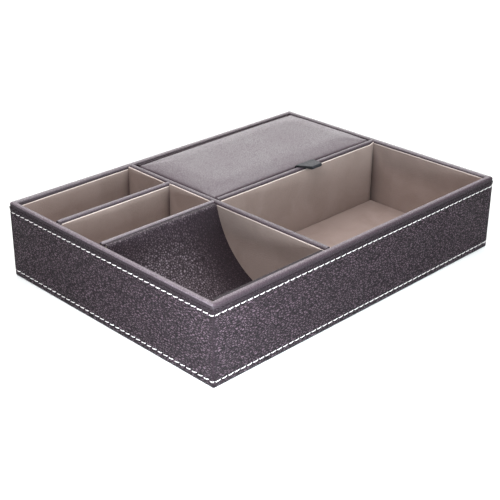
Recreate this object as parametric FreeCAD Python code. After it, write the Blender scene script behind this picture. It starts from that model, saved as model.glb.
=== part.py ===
import FreeCAD, Part
import math
import os

# Leather valet tray: an open box lined with suede, split into a half-round scoop, two narrow
# compartments, a large compartment and a compartment under a padded lid that hangs on a leather strip.
# Millimetres. Origin at the middle of the underside, +X along the long side, +Y to the back, +Z up.

# Overall size, over the leather
LENGTH = 300.0
WIDTH = 220.0
RIM_HEIGHT = 60.0

# Thickness of each layer
COVER_STRIP = 0.7
HEM_STANDS_PROUD = 0.3
WALL_BOARD = 3.6
LEATHER = 0.6
LINING = 1.8
LEDGE_LINING = 3.0
FELT = 0.4

# Heights of the layers
WALL_FOOT = FELT + LEATHER
FLOOR_BOARD_TOP = 4.8
FLOOR_TOP = FLOOR_BOARD_TOP + LINING
COVER_TOP = 56.6
LINING_TOP = 58.3
LEDGE_TOP = 55.2

# How far each layer lies inside the outline of the box
COVER_INSET = HEM_STANDS_PROUD
RIM_INSET = 0.4
BOARD_INSET = COVER_INSET + COVER_STRIP
BOARD_INNER = BOARD_INSET + WALL_BOARD
WALL_INNER = BOARD_INNER + LEATHER
FELT_INSET = 2.5
TURN_IN = 12.0
HEM_HEIGHT = 1.7

# Roundings
COVER_CORNER = 1.6
RIM_CORNER = 2.0
BOARD_CORNER = 0.8
RIM_ROUND = 1.9
FELT_CORNER = 3.0
HEM_ROUND = 0.45
LINING_ROUND = 0.8

# Dividers: where the middle of each one stands, and how thick its board is
COLUMN_X = -37.8
COLUMN_BOARD = 3.0
SCOOP_DIVIDER_Y = 7.8
LID_DIVIDER_Y = 8.7
NARROW_DIVIDER_Y = 57.3
DIVIDER_BOARD = 2.2
DIVIDER_SHOULDER = 0.2

# Scoop: sprung card that bends tightly at the bottom and gently up both sides, with leather on it
SCOOP_CARD = 2.0
SCOOP_EDGE_HEIGHT = 58.5
SCOOP_EDGE_ROUND = 1.0
SCOOP_BOTTOM_RADIUS = 30.0
SCOOP_SIDE_RADIUS = 68.7
SCOOP_SIDE_START = math.radians(24.6)
SCOOP_TURN_OVER = 10.0

# Lid
LID_FRONT_GAP = 1.5
LID_SIDE_GAP = 0.8
LID_BACK_GAP = 2.2
LID_LEATHER = 0.8
LID_BOARD = 2.2
LID_EDGE_HEIGHT = 59.6
LID_CROWN_HEIGHT = 62.4
LID_ROLL_OFF = 24.0
LID_EDGE_ROUND = 2.0
LID_CORNER = 2.5
LID_LINING = 0.6
LID_LINING_INSET = 3.0

# Leather strip that hinges the lid, folded over in the gap behind it
STRIP_END_GAP = 3.0
STRIP_FOLD_Z = 57.5

# Pull tab, folded from one piece of leather
TAB_X = 63.0
TAB_ROOT_WIDTH = 21.5
TAB_TIP_WIDTH = 11.4
TAB_REACH = 14.9
TAB_LEAF = 1.1
TAB_TIP_THICKNESS = 2.8
TAB_DROOP = 0.3
TAB_LIFT_OFF_CAP = 0.4
TAB_CORNER = 1.5

# Faces of the inside that the other pieces are measured from
COLUMN_HALF = COLUMN_BOARD / 2 + LEATHER
DIVIDER_HALF = DIVIDER_BOARD / 2 + LEATHER
INSIDE_LEFT = -LENGTH / 2 + WALL_INNER
INSIDE_RIGHT = LENGTH / 2 - WALL_INNER
INSIDE_FRONT = -WIDTH / 2 + WALL_INNER
INSIDE_BACK = WIDTH / 2 - WALL_INNER
COLUMN_LEFT = COLUMN_X - COLUMN_HALF
COLUMN_RIGHT = COLUMN_X + COLUMN_HALF
LID_FRONT = LID_DIVIDER_Y + DIVIDER_HALF + LID_FRONT_GAP
LID_BACK = INSIDE_BACK - LID_BACK_GAP

TOLERANCE = 0.001
PAST = 5.0


def vector(x, y, z):
    return FreeCAD.Vector(x, y, z)


def block(x0, x1, y0, y1, z0, z1):
    """A plain rectangular solid between two corners."""
    return Part.makeBox(x1 - x0, y1 - y0, z1 - z0, vector(x0, y0, z0))


def is_upright(edge):
    size = edge.BoundBox
    return size.XLength < TOLERANCE and size.YLength < TOLERANCE


def lies_at(edge, height):
    size = edge.BoundBox
    return abs(size.ZMin - height) < TOLERANCE and abs(size.ZMax - height) < TOLERANCE


def round_upright(shape, radius):
    """Round the upright edges, which are the corners seen from above."""
    return shape.makeFillet(radius, [edge for edge in shape.Edges if is_upright(edge)])


def round_level(shape, radius, height):
    """Round every edge that lies level at one height."""
    return shape.makeFillet(radius, [edge for edge in shape.Edges if lies_at(edge, height)])


def inset_block(inset, bottom, top, corner=0.0):
    """The outline of the box brought in by inset, between two heights."""
    solid = block(
        -LENGTH / 2 + inset, LENGTH / 2 - inset, -WIDTH / 2 + inset, WIDTH / 2 - inset, bottom, top
    )
    return round_upright(solid, corner) if corner else solid


def ring(outer, inner, bottom, top, corner=0.0):
    """A rectangular frame between two insets from the outline of the box."""
    opening = inset_block(inner, bottom - PAST, top + PAST)
    return inset_block(outer, bottom, top, corner).cut(opening)


def mitre_wedges():
    """The four prisms that cut a ring into front, back, left and right at 45 degrees."""
    depth = WIDTH / 4
    corners = {
        "front": (vector(-LENGTH / 2, -WIDTH / 2, -PAST), vector(LENGTH / 2, -WIDTH / 2, -PAST)),
        "right": (vector(LENGTH / 2, -WIDTH / 2, -PAST), vector(LENGTH / 2, WIDTH / 2, -PAST)),
        "back": (vector(LENGTH / 2, WIDTH / 2, -PAST), vector(-LENGTH / 2, WIDTH / 2, -PAST)),
        "left": (vector(-LENGTH / 2, WIDTH / 2, -PAST), vector(-LENGTH / 2, -WIDTH / 2, -PAST)),
    }
    wedges = {}
    for side, (start, end) in corners.items():
        along = (end - start).normalize()
        inward = vector(-along.y, along.x, 0)
        inner_end = end + inward * depth - along * depth
        inner_start = start + inward * depth + along * depth
        outline = Part.makePolygon([start, end, inner_end, inner_start, start])
        wedges[side] = Part.Face(outline).extrude(vector(0, 0, RIM_HEIGHT + 2 * PAST))
    return wedges


def wall_boards():
    """The four walls as one rounded ring, before it is cut at the mitres."""
    boards = ring(BOARD_INSET, BOARD_INNER, WALL_FOOT, RIM_HEIGHT - LEATHER, BOARD_CORNER)
    return round_level(boards, RIM_ROUND - LEATHER, RIM_HEIGHT - LEATHER)


def rim_leather(boards):
    """Leather over the top of the walls, down the inside and behind the outer cover's hem."""
    top = ring(RIM_INSET, WALL_INNER, COVER_TOP, RIM_HEIGHT, RIM_CORNER)
    top = round_level(top, RIM_ROUND, RIM_HEIGHT)
    inner_leg = ring(BOARD_INNER, WALL_INNER, FLOOR_BOARD_TOP, COVER_TOP)
    return top.fuse(inner_leg).removeSplitter().cut(boards)


def outer_cover():
    """One strip round all four walls, hemmed at the top and folded in under the walls."""
    strip = inset_block(COVER_INSET, FELT, COVER_TOP - HEM_HEIGHT / 2, COVER_CORNER)
    strip = round_level(strip, HEM_ROUND, FELT)
    hem = inset_block(0.0, COVER_TOP - HEM_HEIGHT, COVER_TOP, COVER_CORNER)
    hem = round_level(hem, HEM_ROUND, COVER_TOP)
    hem = round_level(hem, HEM_ROUND / 2, COVER_TOP - HEM_HEIGHT)
    walls_space = inset_block(BOARD_INSET, WALL_FOOT, RIM_HEIGHT, BOARD_CORNER)
    underside_opening = inset_block(BOARD_INSET + TURN_IN, 0.0, RIM_HEIGHT)
    return strip.fuse(hem).cut(walls_space).cut(underside_opening)


def base_felt():
    return inset_block(FELT_INSET, 0.0, FELT, FELT_CORNER)


def base_board():
    return inset_block(BOARD_INNER, WALL_FOOT, FLOOR_BOARD_TOP)


def divider(x0, x1, y0, y1, along_x):
    """A board standing on the base, and the leather folded over its top edge and down both faces."""
    half = (y1 - y0) / 2 if along_x else (x1 - x0) / 2
    shoulder = half - DIVIDER_SHOULDER
    whole = block(x0, x1, y0, y1, FLOOR_BOARD_TOP, RIM_HEIGHT)
    if along_x:
        board = block(x0, x1, y0 + LEATHER, y1 - LEATHER, FLOOR_BOARD_TOP, RIM_HEIGHT - LEATHER)
    else:
        board = block(x0 + LEATHER, x1 - LEATHER, y0, y1, FLOOR_BOARD_TOP, RIM_HEIGHT - LEATHER)
    whole = round_long_top_edges(whole, shoulder, along_x)
    board = round_long_top_edges(board, shoulder - LEATHER, along_x)
    return board, whole.cut(board)


def round_long_top_edges(solid, radius, along_x):
    """Round only the top edges that run along the length of a thin upright panel."""
    top = solid.BoundBox.ZMax
    chosen = []
    for edge in solid.Edges:
        size = edge.BoundBox
        length = size.XLength if along_x else size.YLength
        across = size.YLength if along_x else size.XLength
        if lies_at(edge, top) and length > across:
            chosen.append(edge)
    return solid.makeFillet(radius, chosen)


def dividers():
    """Board and leather of each divider, by name."""
    places = {
        "column_divider": (COLUMN_LEFT, COLUMN_RIGHT, INSIDE_FRONT, INSIDE_BACK, False),
        "scoop_divider": (INSIDE_LEFT, COLUMN_LEFT, SCOOP_DIVIDER_Y - DIVIDER_HALF,
                          SCOOP_DIVIDER_Y + DIVIDER_HALF, True),
        "narrow_divider": (INSIDE_LEFT, COLUMN_LEFT, NARROW_DIVIDER_Y - DIVIDER_HALF,
                           NARROW_DIVIDER_Y + DIVIDER_HALF, True),
        "lid_divider": (COLUMN_RIGHT, INSIDE_RIGHT, LID_DIVIDER_Y - DIVIDER_HALF,
                        LID_DIVIDER_Y + DIVIDER_HALF, True),
    }
    made = {}
    for name, place in places.items():
        board, leather = divider(*place)
        made[name + "_board"] = board
        made[name + "_leather"] = leather
    return made


def compartment_linings(name, x0, x1, y0, y1, thickness, top):
    """Five suede panels that line one rectangular compartment: a floor and four sides."""
    foot = FLOOR_BOARD_TOP
    left = block(x0, x0 + thickness, y0, y1, foot, top)
    right = block(x1 - thickness, x1, y0, y1, foot, top)
    front = block(x0 + thickness, x1 - thickness, y0, y0 + thickness, foot, top)
    back = block(x0 + thickness, x1 - thickness, y1 - thickness, y1, foot, top)
    floor = block(x0 + thickness, x1 - thickness, y0 + thickness, y1 - thickness, foot, FLOOR_TOP)
    return {
        name + "_left_lining": round_long_top_edges(left, LINING_ROUND, False),
        name + "_right_lining": round_long_top_edges(right, LINING_ROUND, False),
        name + "_front_lining": round_long_top_edges(front, LINING_ROUND, True),
        name + "_back_lining": round_long_top_edges(back, LINING_ROUND, True),
        name + "_floor_lining": round_level(floor, LINING_ROUND, FLOOR_TOP),
    }


def linings():
    """The linings of all four rectangular compartments."""
    made = {}
    made.update(compartment_linings(
        "large", COLUMN_RIGHT, INSIDE_RIGHT, INSIDE_FRONT, LID_DIVIDER_Y - DIVIDER_HALF, LINING, LINING_TOP))
    made.update(compartment_linings(
        "lidded", COLUMN_RIGHT, INSIDE_RIGHT, LID_DIVIDER_Y + DIVIDER_HALF, INSIDE_BACK,
        LEDGE_LINING, LEDGE_TOP))
    made.update(compartment_linings(
        "front_narrow", INSIDE_LEFT, COLUMN_LEFT, SCOOP_DIVIDER_Y + DIVIDER_HALF,
        NARROW_DIVIDER_Y - DIVIDER_HALF, LINING, LINING_TOP))
    made.update(compartment_linings(
        "back_narrow", INSIDE_LEFT, COLUMN_LEFT, NARROW_DIVIDER_Y + DIVIDER_HALF, INSIDE_BACK,
        LINING, LINING_TOP))
    return made


def scoop_space(offset, top):
    """The space above the scoop's bend, seen from the side: offset is how far below the leather's face."""
    middle_y = (INSIDE_FRONT + SCOOP_DIVIDER_Y - DIVIDER_HALF) / 2
    bottom_z = FLOOR_BOARD_TOP + SCOOP_CARD + LEATHER
    bottom_radius = SCOOP_BOTTOM_RADIUS + offset
    side_radius = SCOOP_SIDE_RADIUS + offset
    bottom_centre_z = bottom_z + SCOOP_BOTTOM_RADIUS
    further = SCOOP_SIDE_RADIUS - SCOOP_BOTTOM_RADIUS
    side_centre_y = -further * math.sin(SCOOP_SIDE_START)
    side_centre_z = bottom_centre_z + further * math.cos(SCOOP_SIDE_START)
    side_end = math.pi / 2 - math.asin((side_centre_z - top) / side_radius)
    side_middle = (SCOOP_SIDE_START + side_end) / 2

    def at(across, z):
        return vector(0.0, middle_y + across, z)

    def on_bottom(angle):
        return at(bottom_radius * math.sin(angle), bottom_centre_z - bottom_radius * math.cos(angle))

    def on_side(angle, sign):
        across = side_centre_y + side_radius * math.sin(angle)
        return at(sign * across, side_centre_z - side_radius * math.cos(angle))

    def side(sign):
        return Part.Arc(on_side(SCOOP_SIDE_START, sign), on_side(side_middle, sign), on_side(side_end, sign))

    bend = Part.Arc(on_bottom(-SCOOP_SIDE_START), on_bottom(0.0), on_bottom(SCOOP_SIDE_START))
    level = Part.LineSegment(on_side(side_end, -1), on_side(side_end, 1))
    curves = [bend, side(1), level, side(-1)]
    return Part.Face(Part.Wire([curve.toShape() for curve in curves]))


def scoop():
    """Trough between two suede cheeks: card bent from the front wall to the scoop divider, and its leather."""
    front = INSIDE_FRONT
    back = SCOOP_DIVIDER_Y - DIVIDER_HALF
    left = INSIDE_LEFT + LINING
    right = COLUMN_LEFT - LINING

    def space(offset, top):
        return scoop_space(offset, top).extrude(vector(right - left, 0, 0)).translated(vector(left, 0, 0))

    card_back = LEATHER + SCOOP_CARD
    hollow = space(0.0, SCOOP_EDGE_HEIGHT)
    card = space(card_back, SCOOP_EDGE_HEIGHT - LEATHER).cut(space(LEATHER, SCOOP_EDGE_HEIGHT - LEATHER))
    edges = block(left, right, front, back, SCOOP_EDGE_HEIGHT - SCOOP_TURN_OVER, SCOOP_EDGE_HEIGHT)
    lips = space(card_back + LEATHER, SCOOP_EDGE_HEIGHT).cut(hollow).common(edges)
    lips = round_long_top_edges(lips, SCOOP_EDGE_ROUND, True)
    leather = space(LEATHER, SCOOP_EDGE_HEIGHT - LEATHER - SCOOP_EDGE_ROUND).cut(hollow).fuse(lips).cut(card)
    left_cheek = block(INSIDE_LEFT, left, front, back, FLOOR_BOARD_TOP, LINING_TOP)
    right_cheek = block(right, COLUMN_LEFT, front, back, FLOOR_BOARD_TOP, LINING_TOP)
    return {
        "scoop_shell": card,
        "scoop_leather": leather.removeSplitter(),
        "scoop_left_cheek": round_long_top_edges(left_cheek, LINING_ROUND, False),
        "scoop_right_cheek": round_long_top_edges(right_cheek, LINING_ROUND, False),
    }


def crowned_profile(half_width, bottom, edge_height, crown_height, rounding, place):
    """A closed outline: flat in the middle, falling in a wide arc, then rounded over at each edge."""
    turn = 2 * math.atan2(crown_height - edge_height, LID_ROLL_OFF - rounding)
    wide = rounding + (LID_ROLL_OFF - rounding) / math.sin(turn)
    flat = half_width - LID_ROLL_OFF

    def on_wide_arc(angle):
        return flat + wide * math.sin(angle), crown_height - wide * (1 - math.cos(angle))

    def on_edge_arc(angle):
        return (half_width - rounding + rounding * math.sin(angle),
                edge_height - rounding + rounding * math.cos(angle))

    def mirrored_arc(point_on, start, end):
        """The same arc on the right of the outline and, turned round, on its left."""
        stops = [point_on(start), point_on((start + end) / 2), point_on(end)]
        right = Part.Arc(*[place(u, z) for u, z in stops]).toShape()
        left = Part.Arc(*[place(-u, z) for u, z in reversed(stops)]).toShape()
        return right, left

    right_wide, left_wide = mirrored_arc(on_wide_arc, 0.0, turn)
    right_edge, left_edge = mirrored_arc(on_edge_arc, turn, math.pi / 2)
    shoulder = edge_height - rounding
    return Part.Face(Part.Wire([
        Part.LineSegment(place(-half_width, bottom), place(-half_width, shoulder)).toShape(),
        left_edge,
        left_wide,
        Part.LineSegment(place(-flat, crown_height), place(flat, crown_height)).toShape(),
        right_wide,
        right_edge,
        Part.LineSegment(place(half_width, shoulder), place(half_width, bottom)).toShape(),
        Part.LineSegment(place(half_width, bottom), place(-half_width, bottom)).toShape(),
    ]))


def crowned_block(inset, bottom):
    """The lid's outer form brought in by inset: flat in the middle, rolled off towards all four edges."""
    x0 = COLUMN_RIGHT + LID_SIDE_GAP + inset
    x1 = INSIDE_RIGHT - LID_SIDE_GAP - inset
    y0 = LID_FRONT + inset
    y1 = LID_BACK - inset
    middle_x = (x0 + x1) / 2
    middle_y = (y0 + y1) / 2
    edge_height = LID_EDGE_HEIGHT - inset
    crown_height = LID_CROWN_HEIGHT - inset
    rounding = LID_EDGE_ROUND - inset
    across_x = crowned_profile((x1 - x0) / 2, bottom, edge_height, crown_height, rounding,
                               lambda u, z: vector(middle_x + u, y0, z))
    across_y = crowned_profile((y1 - y0) / 2, bottom, edge_height, crown_height, rounding,
                               lambda u, z: vector(x0, middle_y + u, z))
    along_y = across_x.extrude(vector(0, y1 - y0, 0))
    along_x = across_y.extrude(vector(x1 - x0, 0, 0))
    outline = round_upright(block(x0, x1, y0, y1, bottom, crown_height), LID_CORNER - inset)
    return along_y.common(along_x).common(outline)


def lid():
    """Board, foam, leather and suede of the padded lid, which lies on the ledge of its compartment."""
    x0 = COLUMN_RIGHT + LID_SIDE_GAP
    x1 = INSIDE_RIGHT - LID_SIDE_GAP
    board_foot = LEDGE_TOP + LEATHER
    whole = crowned_block(0.0, LEDGE_TOP)
    core = crowned_block(LID_LEATHER, board_foot)
    turned_in_edge = block(x0 + TURN_IN, x1 - TURN_IN, LID_FRONT + TURN_IN, LID_BACK - TURN_IN,
                           LEDGE_TOP, board_foot)
    below_foam = block(x0, x1, LID_FRONT, LID_BACK, LEDGE_TOP, board_foot + LID_BOARD)
    suede = block(x0 + LID_LINING_INSET, x1 - LID_LINING_INSET, LID_FRONT + LID_LINING_INSET,
                  LID_BACK - LID_LINING_INSET, LEDGE_TOP - LID_LINING, LEDGE_TOP)
    return {
        "lid_board": core.common(below_foam),
        "lid_foam": core.cut(below_foam),
        "lid_cover": whole.cut(core).cut(turned_in_edge),
        "lid_lining": round_upright(suede, LID_CORNER),
    }


def hinge_strip():
    """A strip of leather folded over like an upside-down U: one leaf on the wall, one on the lid."""
    x0 = COLUMN_RIGHT + LID_SIDE_GAP + STRIP_END_GAP
    x1 = INSIDE_RIGHT - LID_SIDE_GAP - STRIP_END_GAP
    outer = LID_BACK_GAP / 2
    inner = outer - LEATHER
    middle_y = INSIDE_BACK - outer
    centre = vector(x0, middle_y, STRIP_FOLD_Z)
    fold = Part.makeCylinder(outer, x1 - x0, centre, vector(1, 0, 0))
    leaves = block(x0, x1, middle_y - outer, INSIDE_BACK, LEDGE_TOP, STRIP_FOLD_Z)
    slot = block(x0, x1, middle_y - inner, middle_y + inner, LEDGE_TOP, STRIP_FOLD_Z)
    hollow = Part.makeCylinder(inner, x1 - x0, centre, vector(1, 0, 0))
    above_ledge = block(x0, x1, middle_y - outer, INSIDE_BACK, LEDGE_TOP, RIM_HEIGHT)
    return fold.common(above_ledge).fuse(leaves).removeSplitter().cut(slot).cut(hollow)


def pull_tab():
    """Folded leather: a leaf glued to the lid's front edge, bent forward over the lid divider."""
    leaf_front = LID_FRONT - TAB_LEAF
    foot = LEDGE_TOP + TAB_LIFT_OFF_CAP
    under = RIM_HEIGHT + TAB_LIFT_OFF_CAP
    tip_y = LID_FRONT - TAB_REACH
    tip_under = under - TAB_DROOP
    tip_top = tip_under + TAB_TIP_THICKNESS
    nose = TAB_TIP_THICKNESS / 2

    def at(y, z):
        return vector(TAB_X - TAB_ROOT_WIDTH / 2, y, z)

    bend = 1 - math.sqrt(0.5)
    top_corner = under + TAB_LEAF
    outline = Part.Wire([
        Part.LineSegment(at(LID_FRONT, foot), at(LID_FRONT, under)).toShape(),
        Part.Arc(at(LID_FRONT, under), at(LID_FRONT - TAB_LEAF * bend, top_corner - TAB_LEAF * bend),
                 at(leaf_front, top_corner)).toShape(),
        Part.LineSegment(at(leaf_front, top_corner), at(tip_y + nose, tip_top)).toShape(),
        Part.Arc(at(tip_y + nose, tip_top), at(tip_y, tip_top - nose), at(tip_y + nose, tip_under)).toShape(),
        Part.LineSegment(at(tip_y + nose, tip_under), at(leaf_front, under)).toShape(),
        Part.LineSegment(at(leaf_front, under), at(leaf_front, foot)).toShape(),
        Part.LineSegment(at(leaf_front, foot), at(LID_FRONT, foot)).toShape(),
    ])
    strip = Part.Face(outline).extrude(vector(TAB_ROOT_WIDTH, 0, 0))
    narrowing = (TAB_ROOT_WIDTH - TAB_TIP_WIDTH) / 2
    plan = Part.Face(Part.makePolygon([
        at(LID_FRONT, 0.0),
        at(tip_y, 0.0) + vector(narrowing, 0, 0),
        at(tip_y, 0.0) + vector(narrowing + TAB_TIP_WIDTH, 0, 0),
        at(LID_FRONT, 0.0) + vector(TAB_ROOT_WIDTH, 0, 0),
        at(LID_FRONT, 0.0),
    ])).extrude(vector(0, 0, RIM_HEIGHT + PAST * 2))
    front_corners = [edge for edge in plan.Edges if is_upright(edge) and edge.BoundBox.YMax < leaf_front]
    return strip.common(plan.makeFillet(TAB_CORNER, front_corners))


def build():
    """Every piece of the tray, by the name of its node."""
    pieces = {"base_felt": base_felt(), "base_board": base_board(), "outer_cover": outer_cover()}
    boards = wall_boards()
    leather = rim_leather(boards)
    for side, wedge in mitre_wedges().items():
        pieces[side + "_wall_board"] = boards.common(wedge)
        pieces[side + "_rim_leather"] = leather.common(wedge)
    pieces.update(dividers())
    pieces.update(linings())
    pieces.update(scoop())
    pieces.update(lid())
    pieces["hinge_strip"] = hinge_strip()
    pieces["pull_tab"] = pull_tab()
    return pieces


os.makedirs("parts", exist_ok=True)
for node, solid in build().items():
    if solid.ShapeType == "Compound" and len(solid.Solids) == 1:
        solid = solid.Solids[0]
    if not solid.isValid() or len(solid.Solids) != 1:
        raise ValueError(f"{node} is not one valid solid")
    solid.exportStep(f"parts/{node}.step")
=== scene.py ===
import functools
import math
from typing import NamedTuple

import bmesh
import bpy
from mathutils import Matrix, Vector, noise


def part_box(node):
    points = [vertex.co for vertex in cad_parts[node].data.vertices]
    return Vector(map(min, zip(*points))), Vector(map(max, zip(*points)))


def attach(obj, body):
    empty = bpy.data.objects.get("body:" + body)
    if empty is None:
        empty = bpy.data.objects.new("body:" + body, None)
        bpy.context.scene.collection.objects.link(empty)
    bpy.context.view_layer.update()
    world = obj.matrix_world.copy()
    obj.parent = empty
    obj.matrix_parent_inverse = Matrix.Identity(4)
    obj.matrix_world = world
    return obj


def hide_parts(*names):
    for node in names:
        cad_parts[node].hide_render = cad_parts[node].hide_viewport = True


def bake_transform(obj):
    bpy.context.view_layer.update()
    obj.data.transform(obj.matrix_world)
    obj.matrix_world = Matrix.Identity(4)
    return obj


bl_info = {
    "name": "Leather valet tray",
    "version": (1, 0, 0),
    "blender": (4, 5, 0),
    "location": "3D View > Sidebar > Valet Tray",
    "description": "Dresses the valet tray in pebbled leather, saddle stitching and suede",
    "category": "Object",
}

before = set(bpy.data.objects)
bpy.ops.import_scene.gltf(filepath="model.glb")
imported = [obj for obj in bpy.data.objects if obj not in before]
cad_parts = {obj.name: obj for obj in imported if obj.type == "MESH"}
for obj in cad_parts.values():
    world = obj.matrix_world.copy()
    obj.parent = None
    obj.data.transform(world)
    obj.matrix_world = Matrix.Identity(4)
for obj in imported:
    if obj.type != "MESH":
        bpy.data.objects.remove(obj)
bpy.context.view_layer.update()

MM = 0.001


# ---------------------------------------------------------------- sizes and colours a user may change

def a_colour(name, description, default):
    """A colour in a settings group."""
    return bpy.props.FloatVectorProperty(
        name=name, description=description, subtype="COLOR", size=3, min=0.0, max=1.0, default=default)


def a_length(name, description, default, least, most):
    """A length in a settings group, in metres."""
    return bpy.props.FloatProperty(
        name=name, description=description, subtype="DISTANCE", unit="LENGTH",
        min=least, max=most, default=default)


def an_angle(name, description, degrees):
    """An angle in a settings group."""
    return bpy.props.FloatProperty(
        name=name, description=description, subtype="ANGLE", unit="ROTATION", default=math.radians(degrees))


def a_share(name, description, default, least=0.0):
    """A share between least and 1 in a settings group."""
    return bpy.props.FloatProperty(
        name=name, description=description, subtype="FACTOR", min=least, max=1.0, default=default)


def a_power(name, where, default):
    """The power of a softbox in a settings group, in watts."""
    return bpy.props.FloatProperty(
        name=name, description=f"Power of the softbox {where}, in watts",
        min=0.0, max=500.0, default=default)


class LeatherSettings(bpy.types.PropertyGroup):
    colour: a_colour("Leather colour", "Face of the dark brown leather", (0.042, 0.0265, 0.035))
    # Crease colour: partly the grain's own darker creases, partly painted shade in them; it is also the
    # colour of the leather's painted shade
    crease_and_shade_colour: a_colour(
        "Crease colour", "Bottom of the creases between the pebbles of the grain", (0.0145, 0.0085, 0.0120))
    # Rubbed colour: partly wear on folds, partly painted sheen and painted light
    rubbed_and_sheen_colour: a_colour(
        "Rubbed colour", "Leather where a fold is polished by handling", (0.150, 0.120, 0.138))
    tab_colour: a_colour("Tab colour", "Smooth dark grey leather of the pull tab", (0.022, 0.022, 0.026))
    pebble: a_length("Pebble width", "Width of one pebble of the grain", 0.0014, 0.0003, 0.005)
    roughness: a_share("Roughness", "Roughness of the leather's finish on top of a pebble", 0.42, 0.05)


class SuedeSettings(bpy.types.PropertyGroup):
    colour: a_colour("Suede colour", "Nap brushed flat", (0.325, 0.250, 0.226))
    shaded_colour: a_colour("Shaded nap", "Nap brushed against the light", (0.275, 0.209, 0.188))
    # Folded edge: partly paler nap over the card's edge, partly a painted highlight on the lit top edge
    pale_fold_and_highlight_colour: a_colour(
        "Folded edge", "Paler nap where the suede is stretched over its card's edge", (0.74, 0.64, 0.60))
    # Tucked nap: the colour of painted shade in the corners and over the upper part of some linings
    painted_shade_colour: a_colour(
        "Tucked nap", "Nap pressed dark where a lining tucks in behind another", (0.045, 0.032, 0.032))
    patch: a_length("Patch size", "Width of a patch of nap that lies one way", 0.028, 0.002, 0.2)
    top_thinning: a_length(
        "Edge stand-off", "How far a lining's top edge stands off the wall behind it", 0.00055, 0.0, 0.001)


class StitchSettings(bpy.types.PropertyGroup):
    colour: a_colour("Thread colour", "Waxed cream thread", (0.75, 0.70, 0.695))
    pitch: a_length("Pitch", "From one needle hole to the same hole of the next", 0.0056, 0.002, 0.02)
    gap: a_length("Gap", "Leather that shows between two stitches", 0.0013, 0.0, 0.005)
    thread: a_length("Thread", "Width of the thread", 0.00060, 0.0002, 0.002)
    upper_height: a_length("Upper row", "Height of the row below the hem", 0.0525, 0.0, 0.06)
    lower_height: a_length("Lower row", "Height of the row above the foot", 0.0046, 0.0, 0.06)


class LidSettings(bpy.types.PropertyGroup):
    slack: a_length(
        "Slack", "How much smaller than the finished lid the pad starts out", 0.0002, 0.0, 0.003)
    cell: a_length("Cloth cell", "Size of the leather's cells while it is simulated", 0.003, 0.001, 0.01)
    pressure: bpy.props.FloatProperty(
        name="Pressure", description="Push of the foam against the leather", min=0.0, max=50.0, default=4.0)
    swell: a_length("Most swell", "The farthest that a point of the leather may move", 0.0004, 0.0, 0.01)


class StageSettings(bpy.types.PropertyGroup):
    position: bpy.props.FloatVectorProperty(
        name="Camera position", description="Where the camera stands",
        subtype="TRANSLATION", unit="LENGTH", size=3, default=(-0.55074, -0.54255, 0.38545))
    azimuth: an_angle("Azimuth", "Turn of the camera round the tray", -44.976)
    elevation: an_angle("Elevation", "Height of the camera above the horizon", 26.0)
    roll: an_angle("Roll", "Turn of the camera about its own axis", 0.454)
    lens: bpy.props.FloatProperty(
        name="Lens", description="Focal length on a 36 mm sensor", subtype="DISTANCE_CAMERA",
        unit="CAMERA", min=10.0, max=400.0, default=79.77)
    ambient: bpy.props.FloatProperty(
        name="Room light", description="Level of the even light of the room",
        min=0.0, max=3.0, default=0.02)
    paper_glow: a_share(
        "Paper glow", "How far the white paper is lifted near the tray, where it is seen or mirrored", 0.2)
    back_box: a_power("Back softbox", "behind the tray, which is wide", 6.0)
    high_back_box: a_power("High back softbox", "higher up behind the tray", 7.0)
    low_back_box: a_power("Low back softbox", "that stands on the table behind the tray", 6.5)
    over_back_box: a_power("Over-back softbox", "above and behind the tray", 7.0)
    top_box: a_power("Top softbox", "above the tray", 6.5)
    fill_box: a_power("Fill softbox", "above the near corner", 2.2)
    corner_box: a_power("Corner softbox", "low in front of the near corner, which is small", 2.4)
    side_box: a_power("Side softbox", "low beside the long front", 2.0)


SETTINGS = {
    "tray_leather": LeatherSettings,
    "tray_suede": SuedeSettings,
    "tray_stitch": StitchSettings,
    "tray_lid": LidSettings,
    "tray_stage": StageSettings,
}


# ---------------------------------------------------------------- facts of the tray, in millimetres

def box_of(node):
    """A solid's lowest and highest corner, in millimetres."""
    low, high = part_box(node)
    return low / MM, high / MM


HALF_LENGTH, HALF_WIDTH, COVER_TOP = (round(c, 2) for c in box_of("outer_cover")[1])
RIM_TOP = round(box_of("front_rim_leather")[1].z, 2)
# How far in from the outline the cover's two faces lie, and those of the leather over a rim
COVER_FACE = 0.3
COVER_BACK = 1.0
RIM_FACE = 0.4
RIM_BACK = 5.2
LEATHER = 0.6


def smooth(value):
    """0 below 0, 1 above 1, and an even turn between them."""
    value = min(max(value, 0.0), 1.0)
    return value * value * (3.0 - 2.0 * value)


def wave(point, size):
    """A slow, even unevenness between -1 and 1, with hills about size across."""
    return noise.noise(point / size)


def bump_at(distance, width):
    """A round hump of height 1 and that half width."""
    return math.exp(-(distance / width) ** 2)


# ---------------------------------------------------------------- meshes

# Faces that meet at more than this many degrees keep a sharp edge
CREASE_ANGLE = 38.0
SOLID_CREASE_ANGLE = 30.0
# How square the shoulders of a folded edge are: 1 is an ellipse, less is squarer
DOME_FLATNESS = 0.8


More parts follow.
